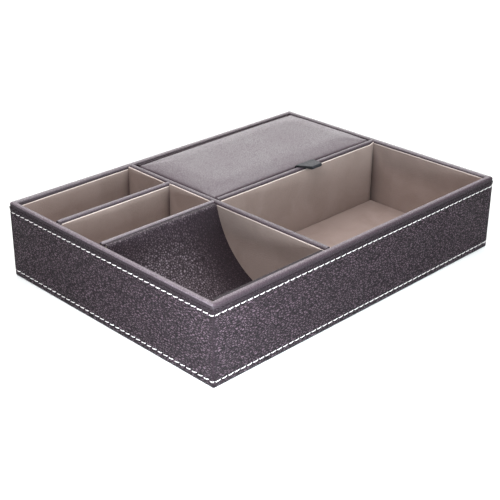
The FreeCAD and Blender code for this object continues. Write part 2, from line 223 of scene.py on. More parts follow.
def piece(name, points, faces, fold=None, tuck=None, crease_angle=CREASE_ANGLE):
    """A closed mesh in metres from points in millimetres, with outward normals and its masks."""
    mesh = bpy.data.meshes.new(name)
    mesh.from_pydata([tuple(c * MM for c in p) for p in points], [], faces)
    # The second mask holds painted shade
    for label, mask in (("fold", fold), ("tuck", tuck)):
        if mask is not None:
            mesh.attributes.new(label, "FLOAT", "POINT").data.foreach_set("value", mask)
    tidy = bmesh.new()
    tidy.from_mesh(mesh)
    bmesh.ops.remove_doubles(tidy, verts=tidy.verts, dist=1e-6)
    bmesh.ops.recalc_face_normals(tidy, faces=tidy.faces)
    tidy.to_mesh(mesh)
    tidy.free()
    shade(mesh, crease_angle)
    made = bpy.data.objects.new(name, mesh)
    bpy.context.scene.collection.objects.link(made)
    return made


def shade(mesh, crease_angle):
    """Shade a mesh smooth, apart from its sharp edges."""
    mesh.shade_smooth()
    mesh.set_sharp_from_angle(angle=math.radians(crease_angle))


def finish_piece(made, body, slot, material, *nodes):
    """Give a piece its finish, the body it rides on and the nodes it stands for. The slot argument is not
    used.
    """
    made.data.materials.clear()
    made.data.materials.append(material)
    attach(made, body)
    if nodes:
        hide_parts(*nodes)


def dress_nodes(material, *nodes):
    """Give a finish to solids that stay as they are."""
    for name in nodes:
        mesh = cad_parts[name].data
        mesh.materials.clear()
        mesh.materials.append(material)
        shade(mesh, SOLID_CREASE_ANGLE)


def graded(low, high, rounding, step, arc_steps=3):
    """Grid lines between two ends: close together over the rounded ends, and about a step apart between."""
    round_end = [rounding * math.tan(math.pi / 4 * i / arc_steps) for i in range(arc_steps)]
    inner_low = low + rounding
    inner_high = high - rounding
    count = max(1, round((inner_high - inner_low) / step))
    inner = [inner_low + (inner_high - inner_low) * i / count for i in range(count + 1)]
    return [low + r for r in round_end] + inner + [high - r for r in reversed(round_end)]


def slab(low, high, rounding, step, shape=None):
    """Points and faces of a soft-edged slab between two corners. shape moves each rounded point."""
    lines = [graded(a, b, rounding, step) for a, b in zip(low, high)]
    last = [len(line) - 1 for line in lines]
    index = {}
    points = []
    faces = []

    def at(*key):
        """The number of the point at that crossing of the grid lines, made when it is first asked for."""
        if key not in index:
            raw = Vector([line[k] for line, k in zip(lines, key)])
            core = Vector([min(max(c, a + rounding), b - rounding) for c, a, b in zip(raw, low, high)])
            out = raw - core
            point = core + out.normalized() * rounding if out.length > 1e-9 else raw
            index[key] = len(points)
            points.append(shape(point) if shape else point)
        return index[key]

    for axis in range(3):
        first, second = [a for a in range(3) if a != axis]
        for end in (0, last[axis]):
            for i in range(last[first]):
                for j in range(last[second]):
                    corners = []
                    for di, dj in ((0, 0), (1, 0), (1, 1), (0, 1)):
                        key = [0, 0, 0]
                        key[axis] = end
                        key[first] = i + di
                        key[second] = j + dj
                        corners.append(at(*key))
                    faces.append(corners)
    return points, faces


class Outline:
    """The outline of the tray seen from above, walked from the front left corner round to it again."""

    def __init__(self, corner):
        self.corner = corner
        self.runs = (2 * (HALF_LENGTH - corner), 2 * (HALF_WIDTH - corner)) * 2
        self.arc = math.pi / 2 * corner
        self.length = sum(self.runs) + 4 * self.arc
        self.side_starts = [0.0]
        for run in self.runs[:-1]:
            self.side_starts.append(self.side_starts[-1] + run + self.arc)

    def at(self, along, inset):
        """The point that far along, brought in by inset, and the outward direction there."""
        along %= self.length
        side = max(i for i in range(4) if self.side_starts[i] <= along + 1e-9)
        past = along - self.side_starts[side]
        outward = Vector(((0, -1), (1, 0), (0, 1), (-1, 0))[side])
        onward = Vector((-outward.y, outward.x))
        half_run = self.runs[side] / 2
        half_across = (HALF_WIDTH, HALF_LENGTH)[side % 2]
        if past <= self.runs[side]:
            return onward * (past - half_run) + outward * (half_across - inset), outward
        angle = (past - self.runs[side]) / self.corner
        turned = outward * math.cos(angle) + onward * math.sin(angle)
        centre = onward * half_run + outward * (half_across - self.corner)
        if inset < self.corner:
            return centre + turned * (self.corner - inset), turned
        return centre + (outward + onward) * (self.corner - inset), turned

    def stations(self, spacing, arc_steps, start=0.0, end=None):
        """Distances along the outline: even along the runs, closer round the corners."""
        end = self.length if end is None else end
        found = []
        for lap in (-1, 0, 1):
            for run, begins in zip(self.runs, self.side_starts):
                begins += lap * self.length
                count = round(run / spacing)
                found += [begins + run * i / count for i in range(count)]
                found += [begins + run + self.arc * i / arc_steps for i in range(arc_steps)]
        return [s for s in sorted(found) if start - 1e-9 <= s < end - 1e-9]


def swept(rows, closed=False):
    """Points and faces of a tube through rows of points, each one a closed loop. An open tube is capped."""
    count = len(rows[0])
    points = [point for row in rows for point in row]
    faces = []
    for i in range(len(rows) if closed else len(rows) - 1):
        here = i * count
        there = (i + 1) % len(rows) * count
        for j in range(count):
            k = (j + 1) % count
            faces.append((here + j, here + k, there + k, there + j))
    if not closed:
        faces.append(tuple(range(count)))
        faces.append(tuple(range((len(rows) - 1) * count, len(rows) * count)))
    return points, faces


def arc(centre, radius, start, end, steps):
    """Points on an arc, angles in degrees, both ends included."""
    angles = [math.radians(start + (end - start) * i / steps) for i in range(steps + 1)]
    return [(centre[0] + radius * math.cos(a), centre[1] + radius * math.sin(a)) for a in angles]


def dome(half, top, rise, steps):
    """Points over a flattened dome, from its left foot to its right one."""
    points = []
    for i in range(steps + 1):
        angle = math.pi * (1 - i / steps)
        reach = math.copysign(abs(math.cos(angle)) ** DOME_FLATNESS, math.cos(angle))
        points.append((half * reach, top - rise + rise * math.sin(angle)))
    return points


# ---------------------------------------------------------------- shader nodes

def place(tree, kind, sockets=None, **settings):
    """Add one node. Each socket is given a value, or another node's output that feeds it."""
    node = tree.nodes.new(kind)
    for name, value in settings.items():
        setattr(node, name, value)
    for name, value in (sockets or {}).items():
        if isinstance(value, bpy.types.NodeSocket):
            tree.links.new(value, node.inputs[name])
        else:
            node.inputs[name].default_value = value
    return node


def figure(tree, operation, a, b=0.0, c=0.0):
    """The result of one sum."""
    return place(tree, "ShaderNodeMath", {0: a, 1: b, 2: c}, operation=operation).outputs[0]


def noise_texture(tree, position, scale, detail, **sockets):
    """Soft noise between 0 and 1."""
    sockets = {"Vector": position, "Scale": scale, "Detail": detail, **sockets}
    return place(tree, "ShaderNodeTexNoise", sockets).outputs


def cells(tree, position, scale, feature):
    """Distances in a pattern of cells: to the middle of one for F1, or to its edge."""
    return place(tree, "ShaderNodeTexVoronoi", {"Vector": position, "Scale": scale},
                 feature=feature).outputs["Distance"]


def times(colour, factor):
    """A colour made lighter or darker."""
    return tuple(c * factor for c in colour)


def blend_colours(tree, factor, a, b):
    """Colour a turning into colour b as the factor goes from 0 to 1."""
    def full(colour):
        """A colour as a socket takes it, with its fourth number."""
        return colour if isinstance(colour, bpy.types.NodeSocket) else (*colour, 1.0)
    return place(tree, "ShaderNodeMix", {0: factor, 6: full(a), 7: full(b)}, data_type="RGBA").outputs[2]


def turned_into(tree, value, low, high, to_low=0.0, to_high=1.0):
    """A value brought smoothly from one range into another."""
    node = place(tree, "ShaderNodeMapRange", {
        "Value": value, "From Min": low, "From Max": high, "To Min": to_low, "To Max": to_high,
    }, interpolation_type="SMOOTHSTEP")
    return node.outputs["Result"]


# ---------------------------------------------------------------- shared effects

NUMBER = "NodeSocketFloat"
PLACE = "NodeSocketVector"


def new_group(name, inputs, outputs):
    """A node group that is given a position and numbers: its tree, its inputs and its outputs."""
    tree = bpy.data.node_groups.new(name, "ShaderNodeTree")
    tree.interface.new_socket(name="Position", in_out="INPUT", socket_type=PLACE)
    for label, value in inputs.items():
        tree.interface.new_socket(name=label, in_out="INPUT", socket_type=NUMBER).default_value = value
    for label in outputs:
        tree.interface.new_socket(name=label, in_out="OUTPUT", socket_type=NUMBER)
    return tree, place(tree, "NodeGroupInput").outputs, place(tree, "NodeGroupOutput").inputs


def pebble_grain():
    """Leather's grain: rounded pebbles of uneven size, with creases between them."""
    tree, given, out = new_group("PebbleGrain", {"Pebble": 0.0012, "Crease Width": 0.3},
                                 ("Height", "Crease", "Tone"))
    pebble_height, wrinkle_height, pore_height = 0.66, 0.28, 0.10
    patches_per_metre = 38.0
    per_pebble = figure(tree, "DIVIDE", 1.0, given["Pebble"])
    spread = place(tree, "ShaderNodeVectorMath", {0: given["Position"], "Scale": per_pebble},
                   operation="SCALE").outputs[0]
    drift = noise_texture(tree, spread, 0.45, 2.0)["Color"]
    centred = place(tree, "ShaderNodeVectorMath", {0: drift, 1: (0.5, 0.5, 0.5)}, operation="SUBTRACT")
    pushed = place(tree, "ShaderNodeVectorMath", {0: centred.outputs[0], 1: (1.5, 1.5, 1.5), 2: spread},
                   operation="MULTIPLY_ADD").outputs[0]
    pebbles = cells(tree, pushed, 0.8, "DISTANCE_TO_EDGE")
    wrinkles = cells(tree, pushed, 1.9, "DISTANCE_TO_EDGE")
    pores = noise_texture(tree, spread, 5.0, 2.0)["Fac"]
    patches = noise_texture(tree, given["Position"], patches_per_metre, 3.0)["Fac"]
    domes = turned_into(tree, pebbles, 0.0, given["Crease Width"])
    small = turned_into(tree, wrinkles, 0.0, given["Crease Width"])
    height = figure(tree, "MULTIPLY_ADD", small, wrinkle_height,
                    figure(tree, "MULTIPLY", domes, pebble_height))
    tree.links.new(figure(tree, "MULTIPLY_ADD", pores, pore_height, height), out["Height"])
    tree.links.new(figure(tree, "SUBTRACT", 1.0, domes), out["Crease"])
    tree.links.new(turned_into(tree, patches, 0.3, 0.7), out["Tone"])


def suede_nap():
    """Suede's nap: patches brushed one way or the other, and short fibres."""
    tree, given, out = new_group(
        "SuedeNap", {"Patch": 0.03, "Fibre": 0.0005}, ("Height", "Brushed", "Fleck"))
    position = given["Position"]
    per_patch = figure(tree, "DIVIDE", 1.0, given["Patch"])
    per_fibre = figure(tree, "DIVIDE", 1.0, given["Fibre"])
    patches = noise_texture(tree, position, per_patch, 4.0, Roughness=0.55, Distortion=0.6)["Fac"]
    fibres = noise_texture(tree, position, per_fibre, 3.0, Roughness=0.7)["Fac"]
    tufts = cells(tree, position, figure(tree, "MULTIPLY", per_fibre, 0.35), "F1")
    tree.links.new(figure(tree, "MULTIPLY_ADD", tufts, 0.5, fibres), out["Height"])
    tree.links.new(turned_into(tree, patches, 0.32, 0.68), out["Brushed"])
    tree.links.new(turned_into(tree, fibres, 0.35, 0.65), out["Fleck"])


def fold_wear_and_sheen():
    """Where a fold is worn or stretched pale, and where light is painted: the fold mask of the mesh, broken
    up unevenly.
    """
    tree, given, out = new_group("FoldWear", {"Fold": 0.0, "Unevenness": 0.5, "Spot": 0.004}, ("Wear",))
    spots = noise_texture(tree, given["Position"], figure(tree, "DIVIDE", 1.0, given["Spot"]), 3.0)["Fac"]
    lost = figure(tree, "MULTIPLY", spots, given["Unevenness"])
    kept = figure(tree, "SUBTRACT", 1.0, lost)
    tree.links.new(figure(tree, "MULTIPLY", given["Fold"], kept), out["Wear"])


def pressed_fibre():
    """Fibreboard and card: fine pressed fibres with darker specks."""
    tree, given, out = new_group("PressedFibre", {"Fibre": 0.001}, ("Height", "Speck"))
    per_fibre = figure(tree, "DIVIDE", 1.0, given["Fibre"])
    drawn = place(tree, "ShaderNodeMapping", {
        "Vector": given["Position"], "Scale": (0.25, 1.0, 1.0)}).outputs[0]
    fibres = noise_texture(tree, drawn, per_fibre, 4.0, Distortion=1.2)["Fac"]
    specks = cells(tree, drawn, figure(tree, "MULTIPLY", per_fibre, 0.3), "F1")
    tree.links.new(fibres, out["Height"])
    tree.links.new(turned_into(tree, specks, 0.1, 0.5), out["Speck"])


GROUPS = {
    "PebbleGrain": pebble_grain,
    "SuedeNap": suede_nap,
    "FoldWear": fold_wear_and_sheen,
    "PressedFibre": pressed_fibre,
}


def grouped(tree, name, position, **sockets):
    """A shared effect, built when it is first asked for and placed in a material with its own values."""
    if name not in bpy.data.node_groups:
        GROUPS[name]()
    sockets = {"Position": position, **{label.replace("_", " "): value for label, value in sockets.items()}}
    return place(tree, "ShaderNodeGroup", sockets, node_tree=bpy.data.node_groups[name]).outputs


# ---------------------------------------------------------------- finishes

class LeatherLook(NamedTuple):
    """How one cut of the leather is finished. Most values are against the leather's own settings."""
    pebble: float = 1.0  # width of a pebble
    stretch: tuple = (1.0, 1.0, 1.0)  # how closely the grain is set along each axis
    depth: float = 0.00030  # height of the grain, in metres
    crease_width: float = 0.3  # how much of a pebble falls away into its crease
    creased: float = 0.7  # how far a crease takes on the crease colour: the grain's own darker crease, and painted shade
    crease_tone: float = 1.0  # how light that colour is
    roughness: float = 0.0  # roughness to add
    shine: float = 0.22  # level of the mirrored light
    tint: float = 1.0  # how light the leather's colour is
    rub_and_sheen_amount: float = 0.6  # how far a fold takes on the rubbed colour: wear, and painted sheen
    rub_and_sheen_tone: float = 1.0  # how light that colour is


# A look's rubbed colour stands for wear and for painted sheen; on the scoop it is also a painted pool of
# light
LEATHER_LOOKS = {
    "PebbledLeather": LeatherLook(
        pebble=0.78, stretch=(0.5, 0.5, 1.0), depth=0.0014,
        crease_width=0.38, creased=1.0, crease_tone=0.35,
        shine=0.12, tint=2.15),
    "RimLeather": LeatherLook(
        pebble=0.8, depth=0.00014, creased=0.4, roughness=-0.02, shine=0.6, tint=1.2, rub_and_sheen_amount=0.9),
    "MattRimLeather": LeatherLook(
        pebble=0.8, depth=0.00020, creased=0.4, roughness=0.02, tint=1.2, rub_and_sheen_amount=0.9, rub_and_sheen_tone=1.25),
    # On the scoop the rubbed colour is made very light for the painted pool of light on its back
    "ScoopLeather": LeatherLook(
        depth=0.0008, crease_width=0.60, creased=1.0, roughness=0.02, shine=0.2, tint=1.8, rub_and_sheen_amount=1.0,
        rub_and_sheen_tone=2.4),
    "LidLeather": LeatherLook(
        pebble=0.95, depth=0.00002, crease_width=0.22, creased=0.12, shine=0.6, tint=1.2),
    "HingeLeather": LeatherLook(pebble=0.8, depth=0.00005),
}


def made_once(make):
    """Hand back a finish that is there already, instead of making it again."""
    @functools.wraps(make)
    def fetch(name, *values):
        return bpy.data.materials[name] if name in bpy.data.materials else make(name, *values)
    return fetch


def new_finish(name):
    """A material with its shader, and the position on the piece that its patterns follow."""
    material = bpy.data.materials.new(name)
    material.use_nodes = True
    tree = material.node_tree
    position = place(tree, "ShaderNodeTexCoord").outputs["Object"]
    return material, tree, tree.nodes["Principled BSDF"], position


def fed(tree, shader, colour, roughness, height, depth):
    """Feed the colour, the roughness and the relief of a finish to its shader."""
    relief = place(tree, "ShaderNodeBump", {"Height": height, "Distance": depth, "Strength": 1.0})
    tree.links.new(colour, shader.inputs["Base Color"])
    tree.links.new(roughness, shader.inputs["Roughness"])
    tree.links.new(relief.outputs["Normal"], shader.inputs["Normal"])


def mesh_mask(tree, name):
    """A mask that the mesh carries."""
    return place(tree, "ShaderNodeAttribute", attribute_name=name, attribute_type="GEOMETRY").outputs["Fac"]


def worn_and_lit_folds(tree, position, unevenness):
    """Where the fold mask of a piece marks wear and painted light."""
    return grouped(tree, "FoldWear", position, Fold=mesh_mask(tree, "fold"), Unevenness=unevenness)["Wear"]


@made_once
def leather_finish(name, settings):
    """Dark brown pebbled leather, in one of its looks."""
    look = LEATHER_LOOKS[name]
    material, tree, shader, position = new_finish(name)
    drawn = place(tree, "ShaderNodeMapping", {"Vector": position, "Scale": look.stretch}).outputs[0]
    grain = grouped(tree, "PebbleGrain", drawn, Pebble=settings.pebble * look.pebble,
                    Crease_Width=look.crease_width)
    wear_and_sheen = worn_and_lit_folds(tree, position, 0.5)
    colour = blend_colours(tree, figure(tree, "MULTIPLY", grain["Tone"], 0.35),
                           times(settings.colour, look.tint), times(settings.colour, look.tint * 1.45))
    # The rubbed colour is partly wear and partly painted sheen, and on the scoop a painted pool of light
    rub_and_sheen = figure(tree, "MULTIPLY", wear_and_sheen, look.rub_and_sheen_amount)
    colour = blend_colours(tree, rub_and_sheen, colour, times(settings.rubbed_and_sheen_colour, look.rub_and_sheen_tone))
    # The creases are darkened: partly the grain's own colour, partly painted shade
    colour = blend_colours(tree, figure(tree, "MULTIPLY", grain["Crease"], look.creased), colour,
                           times(settings.crease_and_shade_colour, look.crease_tone))
    # Painted shade: where the mesh's shade mask is set, the leather is darkened to the crease colour
    colour = blend_colours(tree, mesh_mask(tree, "tuck"), colour, settings.crease_and_shade_colour)
    rough = figure(tree, "MULTIPLY_ADD", grain["Crease"], 0.22, settings.roughness + look.roughness)
    rough = figure(tree, "MULTIPLY_ADD", grain["Tone"], 0.06, rough)
    rough = figure(tree, "MULTIPLY_ADD", rub_and_sheen, -0.08, rough)
    shader.inputs["IOR"].default_value = 1.5
    shader.inputs["Specular IOR Level"].default_value = look.shine
    fed(tree, shader, colour, rough, grain["Height"], look.depth)
    return material


@made_once
def suede_finish(name, settings):
    """Short-napped suede: paler nap and a painted highlight where it is folded over an edge, and painted
    shade where its mesh asks.
    """
    material, tree, shader, position = new_finish(name)
    nap = grouped(tree, "SuedeNap", position, Patch=settings.patch, Fibre=0.0005)
    colour = blend_colours(tree, nap["Brushed"], settings.shaded_colour, settings.colour)
    colour = blend_colours(tree, figure(tree, "MULTIPLY", nap["Fleck"], 0.22), colour,
                           times(settings.colour, 1.25))
    # The pale fold is partly paler nap stretched over the card and partly a painted highlight on the lit top
    # edge
    colour = blend_colours(tree, worn_and_lit_folds(tree, position, 0.35), colour, settings.pale_fold_and_highlight_colour)
    # Painted shade: the nap is darkened in the corners and over the upper part of some linings
    colour = blend_colours(tree, mesh_mask(tree, "tuck"), colour, settings.painted_shade_colour)
    rough = figure(tree, "MULTIPLY_ADD", nap["Brushed"], -0.08, 0.95)
    shader.inputs["Specular IOR Level"].default_value = 0.2
    shader.inputs["Sheen Weight"].default_value = 0.25
    shader.inputs["Sheen Roughness"].default_value = 0.5
    shader.inputs["Sheen Tint"].default_value = (*settings.colour, 1.0)
    fed(tree, shader, colour, rough, nap["Height"], 0.00018)
    return material


@made_once
def thread_finish(name, settings):
    """Waxed two-ply thread."""
    material, tree, shader, position = new_finish(name)
    fuzz = grouped(tree, "SuedeNap", position, Patch=0.009, Fibre=0.00012)
    colour = blend_colours(tree, figure(tree, "MULTIPLY", fuzz["Brushed"], 0.35), settings.colour,
                           times(settings.colour, 0.8))
    rough = figure(tree, "MULTIPLY_ADD", fuzz["Fleck"], 0.15, 0.5)
    fed(tree, shader, colour, rough, fuzz["Height"], 0.00003)
    return material


@made_once
def felt_finish(name):
    """Black wool felt under the base."""
    material, tree, shader, position = new_finish(name)
    wool = grouped(tree, "SuedeNap", position, Patch=0.012, Fibre=0.0008)
    colour = blend_colours(tree, wool["Fleck"], (0.012, 0.011, 0.012), (0.045, 0.043, 0.045))
    rough = figure(tree, "MULTIPLY_ADD", wool["Brushed"], -0.05, 0.98)
    shader.inputs["Sheen Weight"].default_value = 0.3
    fed(tree, shader, colour, rough, wool["Height"], 0.0003)
    return material


# The raw boards: colour, and width of a fibre in metres
BOARDS = {
    "Fibreboard": ((0.42, 0.31, 0.21), 0.0012),
    "BentCard": ((0.40, 0.36, 0.30), 0.0007),
}


@made_once
def board_finish(name):
    """Raw fibreboard or card."""
    colour, fibre = BOARDS[name]
    material, tree, shader, position = new_finish(name)
    pressed = grouped(tree, "PressedFibre", position, Fibre=fibre)
    toned = blend_colours(tree, pressed["Height"], times(colour, 0.7), colour)
    toned = blend_colours(tree, pressed["Speck"], times(colour, 0.45), toned)
    rough = figure(tree, "MULTIPLY_ADD", pressed["Height"], 0.2, 0.7)
    fed(tree, shader, toned, rough, pressed["Height"], 0.00015)
    return material


@made_once
def tab_finish(name, settings):
    """Smooth dark grey leather with a fine grain and a painted edge."""
    edge_paint = (0.006, 0.006, 0.007)
    material, tree, shader, position = new_finish(name)
    grain = grouped(tree, "PebbleGrain", position, Pebble=0.0006, Crease_Width=0.35)
    colour = blend_colours(tree, grain["Crease"], times(settings.tab_colour, 1.2), settings.tab_colour)
    colour = blend_colours(tree, worn_and_lit_folds(tree, position, 0.1), colour, edge_paint)
    rough = figure(tree, "MULTIPLY_ADD", grain["Crease"], 0.15, 0.55)
    shader.inputs["Specular IOR Level"].default_value = 0.2
    fed(tree, shader, colour, rough, grain["Height"], 0.00004)
    return material


# ---------------------------------------------------------------- the outer cover and its stitching

COVER_CORNER = 1.7
COVER_STEP = 0.72
CORNER_STEPS = 6
# Where the rolled edge over the hem ends
HEM_LOW = 54.9
# Unevenness of the cover's face: how deep, and how wide its hills are
FACE_WAVE = 0.05
FACE_HILLS = 26.0
# Depth and half width of the groove along a row of stitches and of the dimple at each hole, how far a dimple
# is drawn out along the row, and how far from the row both end
GROOVE = 0.14
GROOVE_HALF = 0.7
HOLE = 0.30
HOLE_HALF = 0.55
HOLE_LONG = 1.2
PULL_REACH = 2.0
# Painted shade: how dark the leather is painted at the upright edges, how far that reaches, and how dark it
# is painted above the upper row
ARRIS_SHADE = 0.75
ARRIS_REACH = 3.2
HEM_SHADE = 0.85
# How far above the upper row the painted shade starts, and over what height it comes in
HEM_SHADE_FROM, HEM_SHADE_OVER = 0.3, 0.8
# The least that the cover stands in from the outline
LEAST_INSET = 0.04


def stitch_plan(settings):
    """The outline that the stitches follow, how many there are and their exact pitch, in millimetres."""
    outline = Outline(COVER_CORNER)
    count = round(outline.length * MM / settings.pitch)
    return outline, count, outline.length / count


def cover_profile(upper, lower):
    """The cross-section as (inset, height, fold): down the outside, in under the walls, back up."""
    beside_row = (1.1, 0.75, 0.45, 0.2, 0.0, -0.2, -0.45, -0.75, -1.1)
    between = 7
    high, low = upper - PULL_REACH, lower + PULL_REACH
    rolled_edge = [
        (0.95, 56.45, 0.0), (0.70, 56.58, 0.3), (0.40, 56.60, 0.9), (0.16, 56.48, 1.0), (0.03, 56.20, 0.7),
        (0.0, 55.8, 0.3), (0.02, 55.35, 0.2), (0.14, HEM_LOW, 0.1), (COVER_FACE, 54.5, 0.0)]
    face = [upper + beside for beside in beside_row]
    face += [high + (low - high) * i / between for i in range(between + 1)]
    face += [lower + beside for beside in beside_row]
    # The fold along the foot is partly rubbed wear and partly a painted reflection of the floor
    foot_fold = [
        (COVER_FACE, 2.4, 0.2), (COVER_FACE, 1.6, 0.8), (COVER_FACE + 0.03, 0.9, 1.2),
        (COVER_FACE + 0.12, 0.5, 0.8), (COVER_FACE + 0.28, 0.26, 0.8), (COVER_FACE + 0.52, 0.14, 0.4),
        (1.2, 0.16, 0.0), (2.0, 0.5, 0.0), (2.6, 0.78, 0.0)]
    turned_in = [
        (6.0, 0.81, 0.0), (12.6, 0.82, 0.0), (13.0, 1.0, 0.0), (12.9, 1.35, 0.0), (1.05, 1.38, 0.0)]
    back = [(COVER_BACK, 1.5, 0.0), (COVER_BACK, 28.0, 0.0), (COVER_BACK, 56.2, 0.0)]
    return rolled_edge + [(COVER_FACE, height, 0.0) for height in face] + foot_fold + turned_in + back


def pull_of_thread(along, height, row_height, pitch, gap):
    """How far the stitching draws the leather in: a shallow groove along the row, a dimple at each hole."""
    across = height - row_height
    if abs(across) > PULL_REACH:
        return 0.0
    from_gap = abs((along + pitch / 2) % pitch - pitch / 2)
    dimple = HOLE * bump_at(math.hypot(from_gap / HOLE_LONG, across), HOLE_HALF + gap / 4)
    return GROOVE * bump_at(across, GROOVE_HALF) + dimple


class TRAY_OT_outer_cover(bpy.types.Operator):
    """Wrap the walls in one strip of pebbled leather, hemmed at the top and folded in at the foot"""
    bl_idname = "valet_tray.outer_cover"
    bl_label = "Outer Cover"

    def execute(self, context):
        stitch = context.scene.tray_stitch
        outline, _, pitch = stitch_plan(stitch)
        upper, lower = stitch.upper_height / MM, stitch.lower_height / MM
        gap = stitch.gap / MM
        section = cover_profile(upper, lower)
        half_way = outline.length / 2
        arrises = [(start - outline.arc / 2) % outline.length for start in outline.side_starts]
        rows, fold, pressed = [], [], []
        for along in outline.stations(COVER_STEP, CORNER_STEPS):
            row = []
            from_arris = min(abs((along - a + half_way) % outline.length - half_way) for a in arrises)
            # Painted shade: darker at the upright edges and over the hem above the upper row
            drawn = ARRIS_SHADE * bump_at(from_arris, ARRIS_REACH)
            for inset, height, rub_and_light in section:
                hem = HEM_SHADE * smooth((height - upper - HEM_SHADE_FROM) / HEM_SHADE_OVER)
                pressed.append(max(drawn, hem))
                if inset < COVER_BACK - 0.01 and height < HEM_LOW + 1.0:
                    base, _ = outline.at(along, inset)
                    inset += sum(pull_of_thread(along, height, r, pitch, gap) for r in (upper, lower))
                    inset += FACE_WAVE * wave(Vector((base.x, base.y, height)), FACE_HILLS)
                    inset = max(inset, LEAST_INSET)
                point, _ = outline.at(along, inset)
                row.append((point.x, point.y, height))
                fold.append(rub_and_light)
            rows.append(row)
        cover = piece("outer_cover_leather", *swept(rows, closed=True), fold, pressed)
        leather = leather_finish("PebbledLeather", context.scene.tray_leather)
        finish_piece(cover, "tray", "leather", leather, "outer_cover")
        return {"FINISHED"}


STITCH_RINGS = 13
STITCH_SIDES = 8
# How far a stitch leans up on each side of its middle, and how unevenly the stitches lean
STITCH_LEAN = 0.24
LEAN_UNEVEN = 0.05
# How much the thread thins where it dives, how flat it lies, how deep its plies are and how fast they twist
THREAD_THIN = 0.38
THREAD_FLAT = 0.78
PLY_DEPTH = 0.13
PLY_TWIST = 2.4
THREAD_CREASE = 70.0
# How deep the ends of a stitch are sunk, how far its middle stands out from there, and how sharply it dives
THREAD_SUNK = 0.34
THREAD_STANDS = 0.62
THREAD_DIVE = 0.28


def stitch_rows(name, settings, height):
    """One row of stitches round the tray: short lengths of two-ply thread that dive into their holes."""
    outline, count, pitch = stitch_plan(settings)
    gap = settings.gap / MM
    radius = settings.thread / MM / 2
    points, faces = [], []
    for k in range(count):
        start = k * pitch + gap / 2
        lean = STITCH_LEAN + LEAN_UNEVEN * noise.noise(Vector((k * 1.7, height, 0.0)))
        rows = []
        for i in range(STITCH_RINGS):
            part = i / (STITCH_RINGS - 1)
            rise = math.sin(math.pi * part) ** THREAD_DIVE if 0 < part < 1 else 0.0
            along = start + (pitch - gap) * part
            inset = COVER_FACE + GROOVE + THREAD_SUNK - THREAD_STANDS * rise
            middle, outward = outline.at(along, inset)
            girth = radius * (1.0 - THREAD_THIN + THREAD_THIN * rise)
            row = []
            for j in range(STITCH_SIDES):
                angle = 2 * math.pi * j / STITCH_SIDES
                ply = 1.0 + PLY_DEPTH * math.cos(2 * (angle - along * PLY_TWIST))
                spot = middle + outward * (math.cos(angle) * girth * ply * THREAD_FLAT)
                up = math.sin(angle) * girth * ply
                row.append((spot.x, spot.y, height + (part - 0.5) * 2 * lean + up))
            rows.append(row)
        more_points, more_faces = swept(rows)
        faces += [tuple(len(points) + c for c in face) for face in more_faces]
        points += more_points
    return piece(name, points, faces, crease_angle=THREAD_CREASE)


class TRAY_OT_saddle_stitching(bpy.types.Operator):
    """Sew the two rows of cream saddle stitches round the cover"""
    bl_idname = "valet_tray.saddle_stitching"
    bl_label = "Saddle Stitching"

    def execute(self, context):
        settings = context.scene.tray_stitch
        thread = thread_finish("WaxedThread", settings)
        for name, height in (("upper_saddle_stitching", settings.upper_height),
                             ("lower_saddle_stitching", settings.lower_height)):
            finish_piece(stitch_rows(name, settings, height / MM), "tray", "leather", thread)
        return {"FINISHED"}


# ---------------------------------------------------------------- rims

class RimShape(NamedTuple):
    """How the leather lies over one wall's rim."""
    shoulders: tuple  # width and drop of the outer shoulder, then of the inner one
    outer_rub_and_sheen: float  # how much of the rubbed look, wear and painted sheen, the outer shoulder keeps
    shade_until: float  # height at which the painted shade on the outer side starts to clear
    fading: float  # over what height it does
    highlight_at: float = 0.0  # how far in the painted highlight line along the top runs; then its width and strength
    line_width: float = 1.0
    highlight_strength: float = 0.0
    look: str = "RimLeather"


RIMS = {
    "front": RimShape((2.2, 1.7, 0.9, 0.8), 0.0, 58.0, 1.9, 4.0, 0.9, 0.8, "MattRimLeather"),
    "right": RimShape((2.4, 1.6, 1.6, 1.4), 1.0, 58.2, 0.7),
    "back": RimShape((2.4, 1.6, 1.6, 1.4), 1.0, 58.2, 0.7),
    "left": RimShape((1.3, 1.3, 2.6, 2.0), 1.0, 58.7, 0.6, 2.2, 0.8, 0.7, "MattRimLeather"),
}
RIM_CORNER = 2.4
RIM_STEP = 4.0
# How dark the outer side of a rim is painted: painted shade
RIM_SIDE_SHADE = 0.95
# From which height up a rim takes on the rubbed colour, wear and painted sheen, and over what height it
# comes in
RUB_AND_SHEEN_FROM, RUB_AND_SHEEN_OVER = 58.6, 0.6
# Unevenness of a rim above a height, how wide its hills are, and how far the top is pressed in for it
RIM_UNEVEN_FROM = 57.0
RIM_WAVE, RIM_HILLS = 0.07, 14.0
RIM_PRESSED = 0.04
# The shoulders that all rims share at the corners, and how far from a corner they turn into their own
CORNER_SHOULDERS = (1.8, 1.6, 1.6, 1.4)
SHOULDERS_CHANGE_OVER = 12.0
# Heights on the inner face of a rim: its foot, and halfway up
RIM_FOOT = 4.8
HALF_WAY_UP = 30.0


def shoulder(foot, top, width, drop, steps):
    """A quarter of an ellipse from the foot of a shoulder to its top. width is signed."""
    points = []
    for i in range(steps + 1):
        angle = math.pi / 2 * i / steps
        points.append((foot + width * (1.0 - math.cos(angle)), top - drop * (1.0 - math.sin(angle))))
    return points


